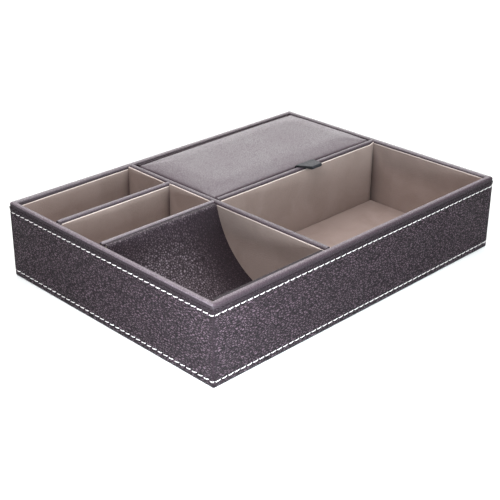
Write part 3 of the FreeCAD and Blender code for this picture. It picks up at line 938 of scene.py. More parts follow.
def rim_profile(rim, from_end):
    """The cross-section as (inset, height, fold, painted shade): over the wall and down its inner face."""
    change = 1.0 - smooth(from_end / SHOULDERS_CHANGE_OVER)
    outer_width, outer_drop, inner_width, inner_drop = (
        a + (b - a) * change for a, b in zip(rim.shoulders, CORNER_SHOULDERS))
    over = [(RIM_FACE, COVER_TOP), (RIM_FACE, 57.3)]
    over += shoulder(RIM_FACE, RIM_TOP, outer_width, outer_drop, 8)
    over += reversed(shoulder(RIM_BACK, RIM_TOP, -inner_width, inner_drop, 8))
    under = [(RIM_BACK, HALF_WAY_UP), (RIM_BACK, RIM_FOOT)]
    under += [(RIM_BACK - LEATHER, RIM_FOOT), (RIM_BACK - LEATHER, HALF_WAY_UP)]
    under += shoulder(RIM_BACK - LEATHER, RIM_TOP - LEATHER, -inner_width, inner_drop, 5)
    under += reversed(shoulder(RIM_FACE + LEATHER, RIM_TOP - LEATHER, outer_width, outer_drop, 5))
    under += [(RIM_FACE + LEATHER, COVER_TOP)]
    section = []
    for inset, height in over:
        # Wear and painted sheen on top
        rub_and_sheen = smooth((height - RUB_AND_SHEEN_FROM) / RUB_AND_SHEEN_OVER)
        rub_and_sheen *= rim.outer_rub_and_sheen + (1.0 - rim.outer_rub_and_sheen) * smooth((inset - 1.0) / 1.6)
        # Painted highlight: a brighter line along the top
        rub_and_sheen *= 1.0 + rim.highlight_strength * bump_at(inset - rim.highlight_at, rim.line_width)
        # Painted shade down the outer side
        dark = RIM_SIDE_SHADE * (1.0 - smooth((height - rim.shade_until) / rim.fading))
        section.append((inset, height, rub_and_sheen, dark))
    return section + [(inset, height, 0.0, 0.0) for inset, height in under]


class TRAY_OT_rim_leathers(bpy.types.Operator):
    """Fold the four strips of leather over the top of the walls"""
    bl_idname = "valet_tray.rim_leathers"
    bl_label = "Rim Leathers"

    def execute(self, context):
        outline = Outline(RIM_CORNER)
        for side, name in enumerate(("front", "right", "back", "left")):
            rim = RIMS[name]
            start = outline.side_starts[side] - outline.arc / 2
            end = outline.side_starts[side] + outline.runs[side] + outline.arc / 2
            rows, fold, pressed = [], [], []
            for along in outline.stations(RIM_STEP, CORNER_STEPS, start, end) + [end]:
                row = []
                # Each point brings its fold of wear and painted sheen, and its painted shade
                for inset, height, rub_and_light, painted_dark in rim_profile(rim, min(along - start, end - along)):
                    base, outward = outline.at(along, inset)
                    if height > RIM_UNEVEN_FROM:
                        swell = RIM_WAVE * wave(Vector((base.x, base.y, 7.0)), RIM_HILLS)
                        base = base + outward * swell * (0.5 if inset < 3.0 else -0.5)
                        height += 0.5 * swell - RIM_PRESSED
                    row.append((base.x, base.y, min(height, RIM_TOP)))
                    fold.append(rub_and_light)
                    pressed.append(painted_dark)
                rows.append(row)
            strip = piece(name + "_rim_strip", *swept(rows), fold, pressed)
            leather = leather_finish(rim.look, context.scene.tray_leather)
            finish_piece(strip, "tray", "leather", leather, name + "_rim_leather")
        return {"FINISHED"}


# ---------------------------------------------------------------- dividers

# Each divider: the axis it runs along, and how much its cap takes on the rubbed colour, wear and painted
# sheen
DIVIDERS = {
    "column_divider": (1, 0.25),
    "scoop_divider": (0, 1.6),
    "narrow_divider": (0, 1.0),
    "lid_divider": (0, 0.65),
}
# How far a cap stops short of the wall at its low end, and how it is rounded there
NOTCH_GAP = 1.0
END_ROUND = 0.5
CAP_RISE = 1.4
CAP_STEP = 4.0
# Unevenness of a cap above a height, and how wide its hills are
CAP_UNEVEN_FROM = 50.0
CAP_WAVE, CAP_HILLS = 0.06, 13.0
# Where the rounding of a cap's end starts and over what height, and where the cap starts to take on the
# rubbed colour, wear and painted sheen
END_DROP_FROM, END_DROP_OVER = 56.0, 3.0
CAP_RUB_AND_SHEEN_FROM = 58.7
BOARD_ROUND = 0.5
BOARD_STEP = 12.0


def end_drop(past_end):
    """How far a cap falls away at that distance from its end."""
    if past_end >= END_ROUND:
        return 0.0
    return END_ROUND * (1.0 - math.sqrt(max(0.0, 1.0 - (1.0 - past_end / END_ROUND) ** 2)))


def cap_stops(start, end):
    """Where the cross-sections of a cap stand: close together at its two ends."""
    near_end = [0.0, 0.04, 0.12, 0.25, 0.5]
    even_from = 1.6
    length = end - start - 2 * even_from
    count = round(length / CAP_STEP)
    even = [start + even_from + length / count * i for i in range(count + 1)]
    return [start + e for e in near_end] + even + [end - e for e in reversed(near_end)]


class TRAY_OT_dividers(bpy.types.Operator):
    """Fold leather over the top of each divider, with a small gap where its cap meets a wall"""
    bl_idname = "valet_tray.dividers"
    bl_label = "Dividers"

    def execute(self, context):
        leather = leather_finish("RimLeather", context.scene.tray_leather)
        board = board_finish("Fibreboard")
        for name, (axis, rub_and_sheen_amount) in DIVIDERS.items():
            self.fold_over(name, axis, rub_and_sheen_amount, leather)
            self.stand_board(name, axis, board)
        return {"FINISHED"}

    def fold_over(self, name, axis, rub_and_sheen_amount, leather):
        """The leather over a divider, domed on top and with its low end rounded off."""
        low, high = box_of(name + "_leather")
        middle = (low[1 - axis] + high[1 - axis]) / 2
        half = (high[1 - axis] - low[1 - axis]) / 2
        outer = [(-half, low.z), (-half, HALF_WAY_UP)] + dome(half, high.z, CAP_RISE, 14)
        outer += [(half, HALF_WAY_UP), (half, low.z)]
        inner_half = half - LEATHER
        inner = [(inner_half, low.z), (inner_half, HALF_WAY_UP)]
        inner += reversed(dome(inner_half, high.z - LEATHER, CAP_RISE, 8))
        inner += [(-inner_half, HALF_WAY_UP), (-inner_half, low.z)]
        start = low[axis] + NOTCH_GAP
        rows, fold = [], []
        for stop in cap_stops(start, high[axis]):
            drop = end_drop(stop - start)
            row = []
            for k, (across, height) in enumerate(outer + inner):
                if height > CAP_UNEVEN_FROM:
                    swell = CAP_WAVE * wave(Vector((stop, middle * 3.0, across)), CAP_HILLS)
                    across += swell * 0.5
                    rounded = drop * smooth((height - END_DROP_FROM) / END_DROP_OVER)
                    height += min(swell * 0.4, 0.0) - rounded
                spot = [0.0, 0.0, height]
                spot[axis] = stop
                spot[1 - axis] = middle + across
                row.append(tuple(spot))
                # The cap's top takes on the rubbed colour: wear and painted sheen
                fold.append(rub_and_sheen_amount * smooth(height - CAP_RUB_AND_SHEEN_FROM) if k < len(outer) else 0.0)
            rows.append(row)
        cap = piece(name + "_cap", *swept(rows), fold)
        finish_piece(cap, "tray", "leather", leather, name + "_leather")

    def stand_board(self, name, axis, board):
        """The board inside a divider, shorter than the leather round it."""
        low, high = box_of(name + "_board")
        low[axis] += NOTCH_GAP + LEATHER

        def relieve(point):
            """Keep the top of the board clear of the leather over it."""
            if point.z > high.z - 3.0:
                point.z -= 0.15 * smooth((point.z - high.z + 3.0) / 2.0)
            return point

        core = piece(name + "_core", *slab(low, high, BOARD_ROUND, BOARD_STEP, relieve))
        finish_piece(core, "tray", "board", board, name + "_board")


# ---------------------------------------------------------------- suede linings

COMPARTMENTS = ("large", "lidded", "front_narrow", "back_narrow")
# Which way the wall lies behind a lining: axis and sign
BEHIND = {"left": (0, -1), "right": (0, 1), "front": (1, -1), "back": (1, 1)}
# How far the card of a lining was cut above or below the plan, at its low and its high end
CUT = {
    "large_back_lining": (-0.1, -0.5), "large_right_lining": (0.1, -0.2),
    "front_narrow_back_lining": (-0.4, -0.2), "back_narrow_back_lining": (-1.5, -0.6),
    "front_narrow_right_lining": (1.0, 1.2), "back_narrow_right_lining": (0.3, 1.0),
}
LOW_CUT = (-1.0, -1.0)
# Painted shade: how dark the nap of a lining is painted over its upper part
SHADED = {"scoop_right_cheek": 0.42, "large_right_lining": 0.30}
# The ends of linings with painted shade in the corner: the side of the end, and the reach
CORNER_SHADE = {
    "large_back_lining": (1, 3.0), "large_right_lining": (1, 20.0), "front_narrow_back_lining": (1, 9.0),
    "back_narrow_back_lining": (1, 9.0), "front_narrow_right_lining": (-1, 3.0),
    "back_narrow_right_lining": (-1, 3.0), "scoop_right_cheek": (1, 3.0),
}
END_GAP = 0.4
# How far down the pale fold reaches: paler nap and a painted highlight on the top edge
FOLD_REACH = 0.5
# How much the painted corner shade fades towards the top edge and over what height, and how fast it fades
# from the end
CORNER_SHADE_FADE, CORNER_SHADE_FADE_OVER = 0.45, 14.0
CORNER_SHADE_FALL = 2.2
# How far below the top edge the shading starts, over what height it comes in, and its least strength
SHADE_FROM, SHADE_OVER, SHADE_LEAST = 28.0, 16.0, 0.3
# How far below the top edge a lining starts to stand off its wall, and over what height
LEAN_FROM, LEAN_OVER = 5.0, 4.0
SUEDE_ROUND = 0.7
SUEDE_STEP = 6.0
FINE_STEP = 3.0
# The corner of the large compartment's back lining that is pushed up by its neighbour
LIFTED = "large_back_lining"
LIFT_UP = 1.5
LIFT_OVER = 0.9
# How far from the corner the lift starts, over what length it rises and how far down it reaches
LIFT_FROM, LIFT_LONG, LIFT_DOWN = 4.2, 4.0, 6.0
# Unevenness of a lining's face and of its top edge: how much, and how wide the hills are
PANEL_WAVE, PANEL_HILLS = 0.09, 17.0
EDGE_WAVE, EDGE_HILLS = 0.10, 11.0
FLOOR_WAVE, FLOOR_HILLS = 0.10, 19.0


def lining_panel(node, side, stand_off):
    """Points, faces, pale fold with its painted highlight, and painted shade of a lining: suede on card, a
    little uneven.
    """
    low, high = box_of(node)
    axis, sign = BEHIND[side]
    run = 1 - axis
    top = high.z
    thick = high[axis] - low[axis]
    hidden = side == "front" or side == "left" and node != "large_left_lining"
    cut_low, cut_high = CUT.get(node, LOW_CUT if hidden else (0.0, 0.0))
    shaded_end, corner_shade_reach = CORNER_SHADE.get(node, (0, 1.0))
    short_low, short_high = low.copy(), high.copy()
    short_low[run] += END_GAP
    short_high[run] -= END_GAP
    fold, tuck = [], []

    def mark(point):
        """Note how pale the fold is here, with its painted highlight, and how dark the painted shade is."""
        fold.append(0.0 if hidden else smooth((point.z - top + FOLD_REACH) / FOLD_REACH))
        from_end = high[run] - point[run] if shaded_end > 0 else point[run] - low[run]
        fading = 1.0 - CORNER_SHADE_FADE * smooth((point.z - top + CORNER_SHADE_FADE_OVER) / CORNER_SHADE_FADE_OVER)
        backward = (point[run] - low[run]) / (high[run] - low[run])
        # Painted shade over the upper part, stronger towards the back
        upper = SHADED.get(node, 0.0) * smooth((point.z - top + SHADE_FROM) / SHADE_OVER)
        upper *= SHADE_LEAST + backward
        at_end = math.exp(-from_end / corner_shade_reach * CORNER_SHADE_FALL) * fading if shaded_end else 0.0
        tuck.append(max(upper, at_end))

    def shape(point):
        """Stand the lining off its wall at the top, make it uneven and cut it to its own height."""
        mark(point)
        depth = (point[axis] - low[axis]) / thick if sign > 0 else (high[axis] - point[axis]) / thick
        lean = smooth((point.z - top + LEAN_FROM) / LEAN_OVER)
        point[axis] -= sign * stand_off * lean * depth
        point[axis] += PANEL_WAVE * wave(point, PANEL_HILLS) * (1.0 - depth) * (1.0 - lean)
        point.z += EDGE_WAVE * wave(Vector((point.x, point.y, 3.0)), EDGE_HILLS) * lean
        if node == LIFTED:
            rise = smooth((point.x - high.x + LIFT_FROM) / LIFT_LONG)
            point.z += LIFT_UP * rise * smooth((point.z - top + LIFT_DOWN) / LIFT_DOWN)
            point.x += LIFT_OVER * rise * lean
        part = (point[run] - low[run]) / (high[run] - low[run])
        point.z += (cut_low + (cut_high - cut_low) * part) * (point.z - low.z) / (top - low.z)
        return point

    points, faces = slab(short_low, short_high, SUEDE_ROUND, FINE_STEP, shape)
    return points, faces, fold, tuck


class TRAY_OT_linings(bpy.types.Operator):
    """Line the four square compartments with suede on card"""
    bl_idname = "valet_tray.linings"
    bl_label = "Suede Linings"

    def execute(self, context):
        settings = context.scene.tray_suede
        for room in COMPARTMENTS:
            for side in BEHIND:
                node = f"{room}_{side}_lining"
                if room == "lidded":
                    panel = slab(*box_of(node), SUEDE_ROUND, SUEDE_STEP)
                else:
                    panel = lining_panel(node, side, settings.top_thinning / MM)
                self.lay(node, panel, settings)
            self.lay(f"{room}_floor_lining", self.floor_panel(f"{room}_floor_lining"), settings)
        return {"FINISHED"}

    def lay(self, node, panel, settings):
        """Make a panel of suede from its points, faces and masks."""
        laid = piece(node.replace("lining", "suede"), *panel)
        finish_piece(laid, "tray", "suede", suede_finish("BrushedSuede", settings), node)

    def floor_panel(self, node):
        """Points and faces of a floor lining, its top a little uneven."""
        low, high = box_of(node)

        def shape(point):
            if point.z > high.z - 0.8:
                point.z += FLOOR_WAVE * wave(Vector((point.x, point.y, 0.0)), FLOOR_HILLS) - 0.06
            return point

        return slab(low, high, SUEDE_ROUND, SUEDE_STEP, shape)


# ---------------------------------------------------------------- scoop

# The scoop's curve: a tight arc at the bottom, and a wide one up each side
SCOOP_FOOT = 7.4
SCOOP_BOTTOM_RADIUS = 30.0
SCOOP_SIDE_RADIUS = 68.7
SCOOP_SIDE_START = math.radians(24.6)
SCOOP_SIDE_ACROSS = (SCOOP_BOTTOM_RADIUS - SCOOP_SIDE_RADIUS) * math.sin(SCOOP_SIDE_START)
SCOOP_CENTRE_Z = SCOOP_FOOT + SCOOP_BOTTOM_RADIUS
SCOOP_SIDE_Z = SCOOP_CENTRE_Z + (SCOOP_SIDE_RADIUS - SCOOP_BOTTOM_RADIUS) * math.cos(SCOOP_SIDE_START)
# The lip that the leather is turned over: its thickness, how it stands up and how far it turns down behind
SCOOP_LIP = 3.9
SCOOP_LIP_RISE = 0.7
SCOOP_LIP_ROUND = 1.0
SCOOP_TURN_OVER = 10.0
SCOOP_FRONT_LOWER = 0.7
# Painted shade: how dark the leather is painted towards the right cheek, and where it turns dark
SCOOP_END_SHADE = 0.7
SCOOP_END_FROM = 58.0
SCOOP_END_OVER = 36.0
# Painted light: how strong the pool of light painted on the middle of its back is, how far along and how
# high that lies, and how far it reaches
SCOOP_PAINTED_LIGHT = 2.1
LIGHT_ALONG, LIGHT_LONG = 44.0, 30.0
LIGHT_HEIGHT, LIGHT_HIGH = 24.0, 20.0
# Where the painted light starts across the scoop, and over what width it comes in
LIGHT_ACROSS, LIGHT_WIDE = -14.0, 26.0
# How far the right lip takes on the rubbed colour: wear and painted sheen
LIP_RUB_AND_SHEEN = 0.45
# How far below the top edge the lip's look ends
LIP_DEEP = 2.2
# How far below the top edge the front lip starts to fall lower, and over what height it does
LIP_FALL_FROM, LIP_FALL_OVER = 8.0, 6.0
SCOOP_SWELL = 0.10
SCOOP_WAVE, SCOOP_HILLS = 0.16, 30.0
# Over what height below the top edge the scoop's face turns even
SCOOP_CALM = 8.0
SCOOP_STEPS = 40
SCOOP_SECTIONS = 44


def scoop_side(depth, height):
    """The point on the right side of the scoop at that height, that deep behind the face of its leather."""
    radius = SCOOP_SIDE_RADIUS + depth
    return SCOOP_SIDE_ACROSS + math.sqrt(radius ** 2 - (SCOOP_SIDE_Z - height) ** 2), height


def scoop_curve(depth, top):
    """Points from the left edge through the bottom to the right edge, that deep behind the face."""
    radius = SCOOP_SIDE_RADIUS + depth
    end = math.acos((SCOOP_SIDE_Z - top) / radius)
    side = []
    for i in range(SCOOP_STEPS + 1):
        angle = SCOOP_SIDE_START + (end - SCOOP_SIDE_START) * i / SCOOP_STEPS
        side.append((SCOOP_SIDE_ACROSS + radius * math.sin(angle), SCOOP_SIDE_Z - radius * math.cos(angle)))
    bottom = []
    bottom_steps = SCOOP_STEPS // 3
    for i in range(1, bottom_steps):
        angle = SCOOP_SIDE_START * (2 * i / bottom_steps - 1)
        radius = SCOOP_BOTTOM_RADIUS + depth
        bottom.append((radius * math.sin(angle), SCOOP_CENTRE_Z - radius * math.cos(angle)))
    return [(-across, height) for across, height in reversed(side)] + bottom + side


def scoop_lip(lip_z, turned_down):
    """Points over the right lip: up from the face, over the top, down behind and back up inside."""
    top = lip_z + SCOOP_LIP_ROUND
    card = SCOOP_LIP - LEATHER
    quarter = [math.pi / 2 * i / 6 for i in range(7)]
    points = [scoop_side(SCOOP_LIP_ROUND * (1.0 - math.cos(a)), lip_z + SCOOP_LIP_ROUND * math.sin(a))
              for a in quarter[1:]]
    points += [scoop_side(SCOOP_LIP - SCOOP_LIP_ROUND * (1.0 - math.sin(a)),
                          lip_z + SCOOP_LIP_ROUND * math.cos(a)) for a in quarter]
    points += [scoop_side(SCOOP_LIP, lip_z - (lip_z - turned_down) * i / 4) for i in range(1, 5)]
    points += [scoop_side(card, turned_down + (lip_z - turned_down) * i / 4) for i in range(5)]
    return points + [scoop_side(card, top - LEATHER), scoop_side(LEATHER, top - LEATHER)]


class TRAY_OT_scoop(bpy.types.Operator):
    """Lay the scoop's leather over its bent card, and suede on its two cheeks"""
    bl_idname = "valet_tray.scoop"
    bl_label = "Scoop"

    def execute(self, context):
        settings = context.scene.tray_suede
        suede = suede_finish("BrushedSuede", settings)
        for side in ("left", "right"):
            node = f"scoop_{side}_cheek"
            cheek = piece(f"{node}_suede", *lining_panel(node, side, settings.top_thinning / MM))
            finish_piece(cheek, "tray", "suede", suede, node)
        self.lay_leather(leather_finish("ScoopLeather", context.scene.tray_leather))
        dress_nodes(board_finish("BentCard"), "scoop_shell")
        return {"FINISHED"}

    def lay_leather(self, leather):
        """The leather of the scoop: its hollow face, both lips and its back."""
        low, high = box_of("scoop_leather")
        middle_y = (low.y + high.y) / 2
        top = high.z + SCOOP_LIP_RISE
        lip_z = top - SCOOP_LIP_ROUND
        inside = scoop_curve(0.0, lip_z)
        right_lip = scoop_lip(lip_z, high.z - SCOOP_TURN_OVER)
        left_lip = [(-across, height) for across, height in reversed(right_lip)]
        section = inside + right_lip + scoop_curve(LEATHER, lip_z)[::-1] + left_lip
        rows, fold, pressed = [], [], []
        for i in range(SCOOP_SECTIONS + 1):
            x = low.x + (high.x - low.x) * i / SCOOP_SECTIONS
            # Painted shade towards the right cheek
            end_shade = SCOOP_END_SHADE * smooth((x - low.x - SCOOP_END_FROM) / SCOOP_END_OVER)
            # Painted light: a pool of light on the middle of the back
            light_here = SCOOP_PAINTED_LIGHT * bump_at(x - low.x - LIGHT_ALONG, LIGHT_LONG)
            row = []
            for k, (across, height) in enumerate(section):
                if k < len(inside):
                    inward = Vector((-across, SCOOP_CENTRE_Z - height)).normalized()
                    swell = SCOOP_SWELL + SCOOP_WAVE * wave(Vector((x, across, height)), SCOOP_HILLS)
                    swell *= smooth((top - height) / SCOOP_CALM)
                    across += inward.x * swell
                    height += inward.y * swell
                if across < 0:
                    height -= SCOOP_FRONT_LOWER * smooth((height - top + LIP_FALL_FROM) / LIP_FALL_OVER)
                row.append((x, middle_y + across, height))
                at_lip = smooth(height - top + LIP_DEEP)
                # Painted light on the back
                polished = light_here * bump_at(height - LIGHT_HEIGHT, LIGHT_HIGH)
                polished *= smooth((across - LIGHT_ACROSS) / LIGHT_WIDE)
                # The right lip's rubbed colour, wear and painted sheen, and the painted pool of light
                fold.append(max(LIP_RUB_AND_SHEEN * at_lip if across > 0 else 0.0, polished))
                # Painted shade on the front lip, and towards the right cheek
                pressed.append(at_lip if across < 0 else end_shade * (1.0 - at_lip))
            rows.append(row)
        lining = piece("scoop_leather_lining", *swept(rows), fold, pressed)
        finish_piece(lining, "tray", "leather", leather, "scoop_leather")


# ---------------------------------------------------------------- boards and base

FELT_ROUND = 0.15
FELT_STEP = 5.0
# How ragged the edge of the felt is, and how wide the hills on its underside and along its edge are
FELT_RAGGED = 0.35
FELT_HILLS = 9.0
FELT_EDGE_HILLS = 12.0


class TRAY_OT_boards_and_base(bpy.types.Operator):
    """Give the hidden boards their raw finish and lay the felt under the base"""
    bl_idname = "valet_tray.boards_and_base"
    bl_label = "Boards and Base"

    def execute(self, context):
        walls = (f"{side}_wall_board" for side in ("front", "back", "left", "right"))
        dress_nodes(board_finish("Fibreboard"), "base_board", *walls)
        low, high = box_of("base_felt")

        def trim(value, limit, beside):
            """How far a place near the felt's edge is brought in, raggedly."""
            at_edge = smooth((abs(value) - limit + 3.0) / 3.0)
            ragged = 0.5 + 0.5 * wave(Vector(beside), FELT_EDGE_HILLS)
            return math.copysign(FELT_RAGGED * at_edge * ragged, value)

        def shape(point):
            if point.z < low.z + 0.3:
                point.z += 0.05 + 0.05 * wave(Vector((point.x, point.y, 1.0)), FELT_HILLS)
            point.x -= trim(point.x, high.x, (point.y, 5.0, 2.0))
            point.y -= trim(point.y, high.y, (point.x, 9.0, 4.0))
            return point

        sheet = piece("base_felt_sheet", *slab(low, high, FELT_ROUND, FELT_STEP, shape))
        finish_piece(sheet, "tray", "base_felt", felt_finish("BlackFelt"), "base_felt")
        return {"FINISHED"}


# ---------------------------------------------------------------- lid

LID_ROLL = 24.0
LID_EDGE_DROP = 2.8
LID_EDGE_ROUND = 1.7
# How far the lid's back left corner stands in from a square outline
LID_BACK_ASKEW = 2.0
LID_LEFT_ASKEW = 0.7
LID_FLAT_FOOT = 1.4
# From which share of its height up the pad falls away towards its edges
LID_DROP_FROM = 0.35
LID_BOARD_INSET = 1.6
LID_BOARD_ROUND = 0.8
LID_SUEDE_ROUND = 0.25
# What of the pad lies this close over its underside is pressed flat on it
PRESSED_FLAT = 0.25
# How the leather of the lid stretches while the foam pushes against it, and for how many frames
STRETCH = {
    "use_pressure": True, "quality": 6, "mass": 0.25, "tension_stiffness": 30.0,
    "compression_stiffness": 30.0, "shear_stiffness": 15.0, "bending_stiffness": 1.5,
}
SWELL_FRAMES = 20


def start_form(low, high, slack, cell):
    """The pad before it swells: a slab a little smaller than the lid, falling away towards its edges."""
    small_low = Vector((low.x + slack, low.y + slack, low.z))
    small_high = Vector((high.x - slack, high.y - slack, high.z - slack * 0.5))

    def flatness(value, a, b):
        """1 over the middle of the pad, falling to 0 at its edges."""
        fall = 1.0 - smooth(0.5 + 0.5 * (min(value - a, b - value) / LID_ROLL))
        return 1.0 - 2.0 * fall

    def shape(point):
        rise = (point.z - low.z) / (high.z - low.z)
        drop = 1.0 - (flatness(point.x, small_low.x, small_high.x)
                      * flatness(point.y, small_low.y, small_high.y))
        point.z -= LID_EDGE_DROP * drop * smooth((rise - LID_DROP_FROM) / (1.0 - LID_DROP_FROM))
        leftward = (high.x - point.x) / (high.x - low.x)
        backward = (point.y - low.y) / (high.y - low.y)
        point.y -= LID_BACK_ASKEW * leftward * backward
        point.x += LID_LEFT_ASKEW * leftward * backward
        return point

    return slab(small_low, small_high, LID_EDGE_ROUND, cell, shape)


def evaluated_copy(made, name):
    """The mesh that the modifiers of an object make."""
    graph = bpy.context.evaluated_depsgraph_get()
    mesh = bpy.data.meshes.new_from_object(made.evaluated_get(graph), depsgraph=graph)
    mesh.name = name
    return mesh


def swollen(start, settings):
    """Blow the leather up against its own stretch, and give back its points."""
    group = start.vertex_groups.new(name="glued")
    foot = min(v.co.z for v in start.data.vertices)
    glued = [v.index for v in start.data.vertices if v.co.z < foot + LID_FLAT_FOOT * MM]
    group.add(glued, 1.0, "REPLACE")
    cloth = start.modifiers.new("Leather", "CLOTH")
    cloth.settings.vertex_group_mass = group.name
    cloth.settings.uniform_pressure_force = settings.pressure
    cloth.settings.effector_weights.gravity = 0.0
    for field, value in STRETCH.items():
        setattr(cloth.settings, field, value)
    cloth.collision_settings.use_collision = False
    scene = bpy.context.scene
    cloth.point_cache.frame_start = 1
    cloth.point_cache.frame_end = SWELL_FRAMES
    for number in range(1, SWELL_FRAMES + 1):
        scene.frame_set(number)
    graph = bpy.context.evaluated_depsgraph_get()
    blown = [v.co.copy() for v in start.evaluated_get(graph).data.vertices]
    start.modifiers.remove(cloth)
    scene.frame_set(1)
    return blown


class TRAY_OT_padded_lid(bpy.types.Operator):
    """Stretch leather over the foam of the lid, and line its underside with suede"""
    bl_idname = "valet_tray.padded_lid"
    bl_label = "Padded Lid"

    def execute(self, context):
        self.upholster(context)
        low, high = box_of("lid_board")
        inward = Vector((LID_BOARD_INSET, LID_BOARD_INSET, 0.0))
        board = piece("lid_core", *slab(low + inward, high - inward, LID_BOARD_ROUND, BOARD_STEP))
        finish_piece(board, "lid", "board", board_finish("Fibreboard"), "lid_board")
        panel = slab(*box_of("lid_lining"), LID_SUEDE_ROUND, SUEDE_STEP)
        lining = piece("lid_underside_suede", *panel)
        suede = suede_finish("BrushedSuede", context.scene.tray_suede)
        finish_piece(lining, "lid", "suede", suede, "lid_lining")
        return {"FINISHED"}

    def upholster(self, context):
        """Blow the pad up, keep it inside its own space and dress it in leather."""
        settings = context.scene.tray_lid
        low, high = box_of("lid_cover")
        pad = piece("padded_lid_cover", *start_form(low, high, settings.slack / MM, settings.cell / MM))
        mesh = pad.data
        for vertex, new in zip(mesh.vertices, swollen(pad, settings)):
            move = new - vertex.co
            if move.length > settings.swell:
                move *= settings.swell / move.length
            vertex.co += move
        self.settle(mesh, low * MM, high * MM)
        smoothing = pad.modifiers.new("Subdivision", "SUBSURF")
        smoothing.levels = 1
        smoothing.render_levels = 1
        final = evaluated_copy(pad, "padded_lid_cover")
        pad.modifiers.clear()
        pad.vertex_groups.clear()
        pad.data = final
        final.shade_smooth()
        leather = leather_finish("LidLeather", context.scene.tray_leather)
        finish_piece(pad, "lid", "leather", leather, "lid_cover", "lid_foam")

    def settle(self, mesh, low, high):
        """Press the leather flat on the underside and keep it inside the lid's own space."""
        for vertex in mesh.vertices:
            for axis in range(2):
                vertex.co[axis] = min(max(vertex.co[axis], low[axis]), high[axis])
            vertex.co.z = min(vertex.co.z, high.z)
            if vertex.co.z < low.z + PRESSED_FLAT * MM:
                vertex.co.z = low.z


HINGE_CLEAR = 0.02
HINGE_LEATHER = 0.55
HINGE_SECTIONS = 60
HINGE_WAVE, HINGE_HILLS = 0.12, 15.0
HINGE_LOWER = 0.08


class TRAY_OT_hinge_strip(bpy.types.Operator):
    """Make the strip of leather, folded over in the gap behind the lid, that the lid hangs on"""
    bl_idname = "valet_tray.hinge_strip"
    bl_label = "Hinge Strip"

    def execute(self, context):
        low, high = box_of("hinge_strip")
        middle = (low.y + high.y) / 2
        outer = (high.y - low.y) / 2 - HINGE_CLEAR
        inner = outer - HINGE_LEATHER
        fold_z = high.z - outer - HINGE_CLEAR
        quarter = (fold_z - low.z) / 4
        section = [(outer, low.z + quarter * i) for i in range(4)]
        section += arc((0.0, fold_z), outer, 0.0, 180.0, 14)
        section += [(-outer, fold_z - quarter * i) for i in range(1, 5)]
        section += [(-inner, low.z + quarter * i) for i in range(4)]
        section += arc((0.0, fold_z), inner, 180.0, 0.0, 10)
        section += [(inner, fold_z - quarter * i) for i in range(1, 5)]
        rows = []
        for i in range(HINGE_SECTIONS + 1):
            x = low.x + (high.x - low.x) * i / HINGE_SECTIONS
            sag = HINGE_WAVE * wave(Vector((x, 0.0, 0.0)), HINGE_HILLS) - HINGE_LOWER
            rows.append([(x, middle + across, height + (sag if height > fold_z else 0.0))
                         for across, height in section])
        strip = piece("lid_hinge_strip", *swept(rows))
        strip.data.materials.append(leather_finish("HingeLeather", context.scene.tray_leather))
        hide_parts("hinge_strip")
        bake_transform(strip)
        return {"FINISHED"}


TAB_SECTIONS = 26
TAB_TIP_HALF = 5.7
# Thickness of one leaf of the tab and of its doubled tip, and how far the tip droops
TAB_LEAF = 1.1
TAB_TIP_THICKNESS = 2.8
TAB_DROOP = 0.3
TAB_BEND = 1.0
# The rounding of the tab's edges and the band along them that looks worn, as parts of its half width
TAB_EDGE = 0.08
TAB_WORN = 0.05
# How far the tab stands over the rim, its foot over its own lowest point, and its tip in from its outermost
TAB_OVER_RIM = 0.4
TAB_FOOT = 0.05
TAB_TIP_IN = 1.2
# How deep the line between the two leaves is at the tip, and its half height
TAB_LINE, TAB_LINE_HALF = 0.22, 0.28


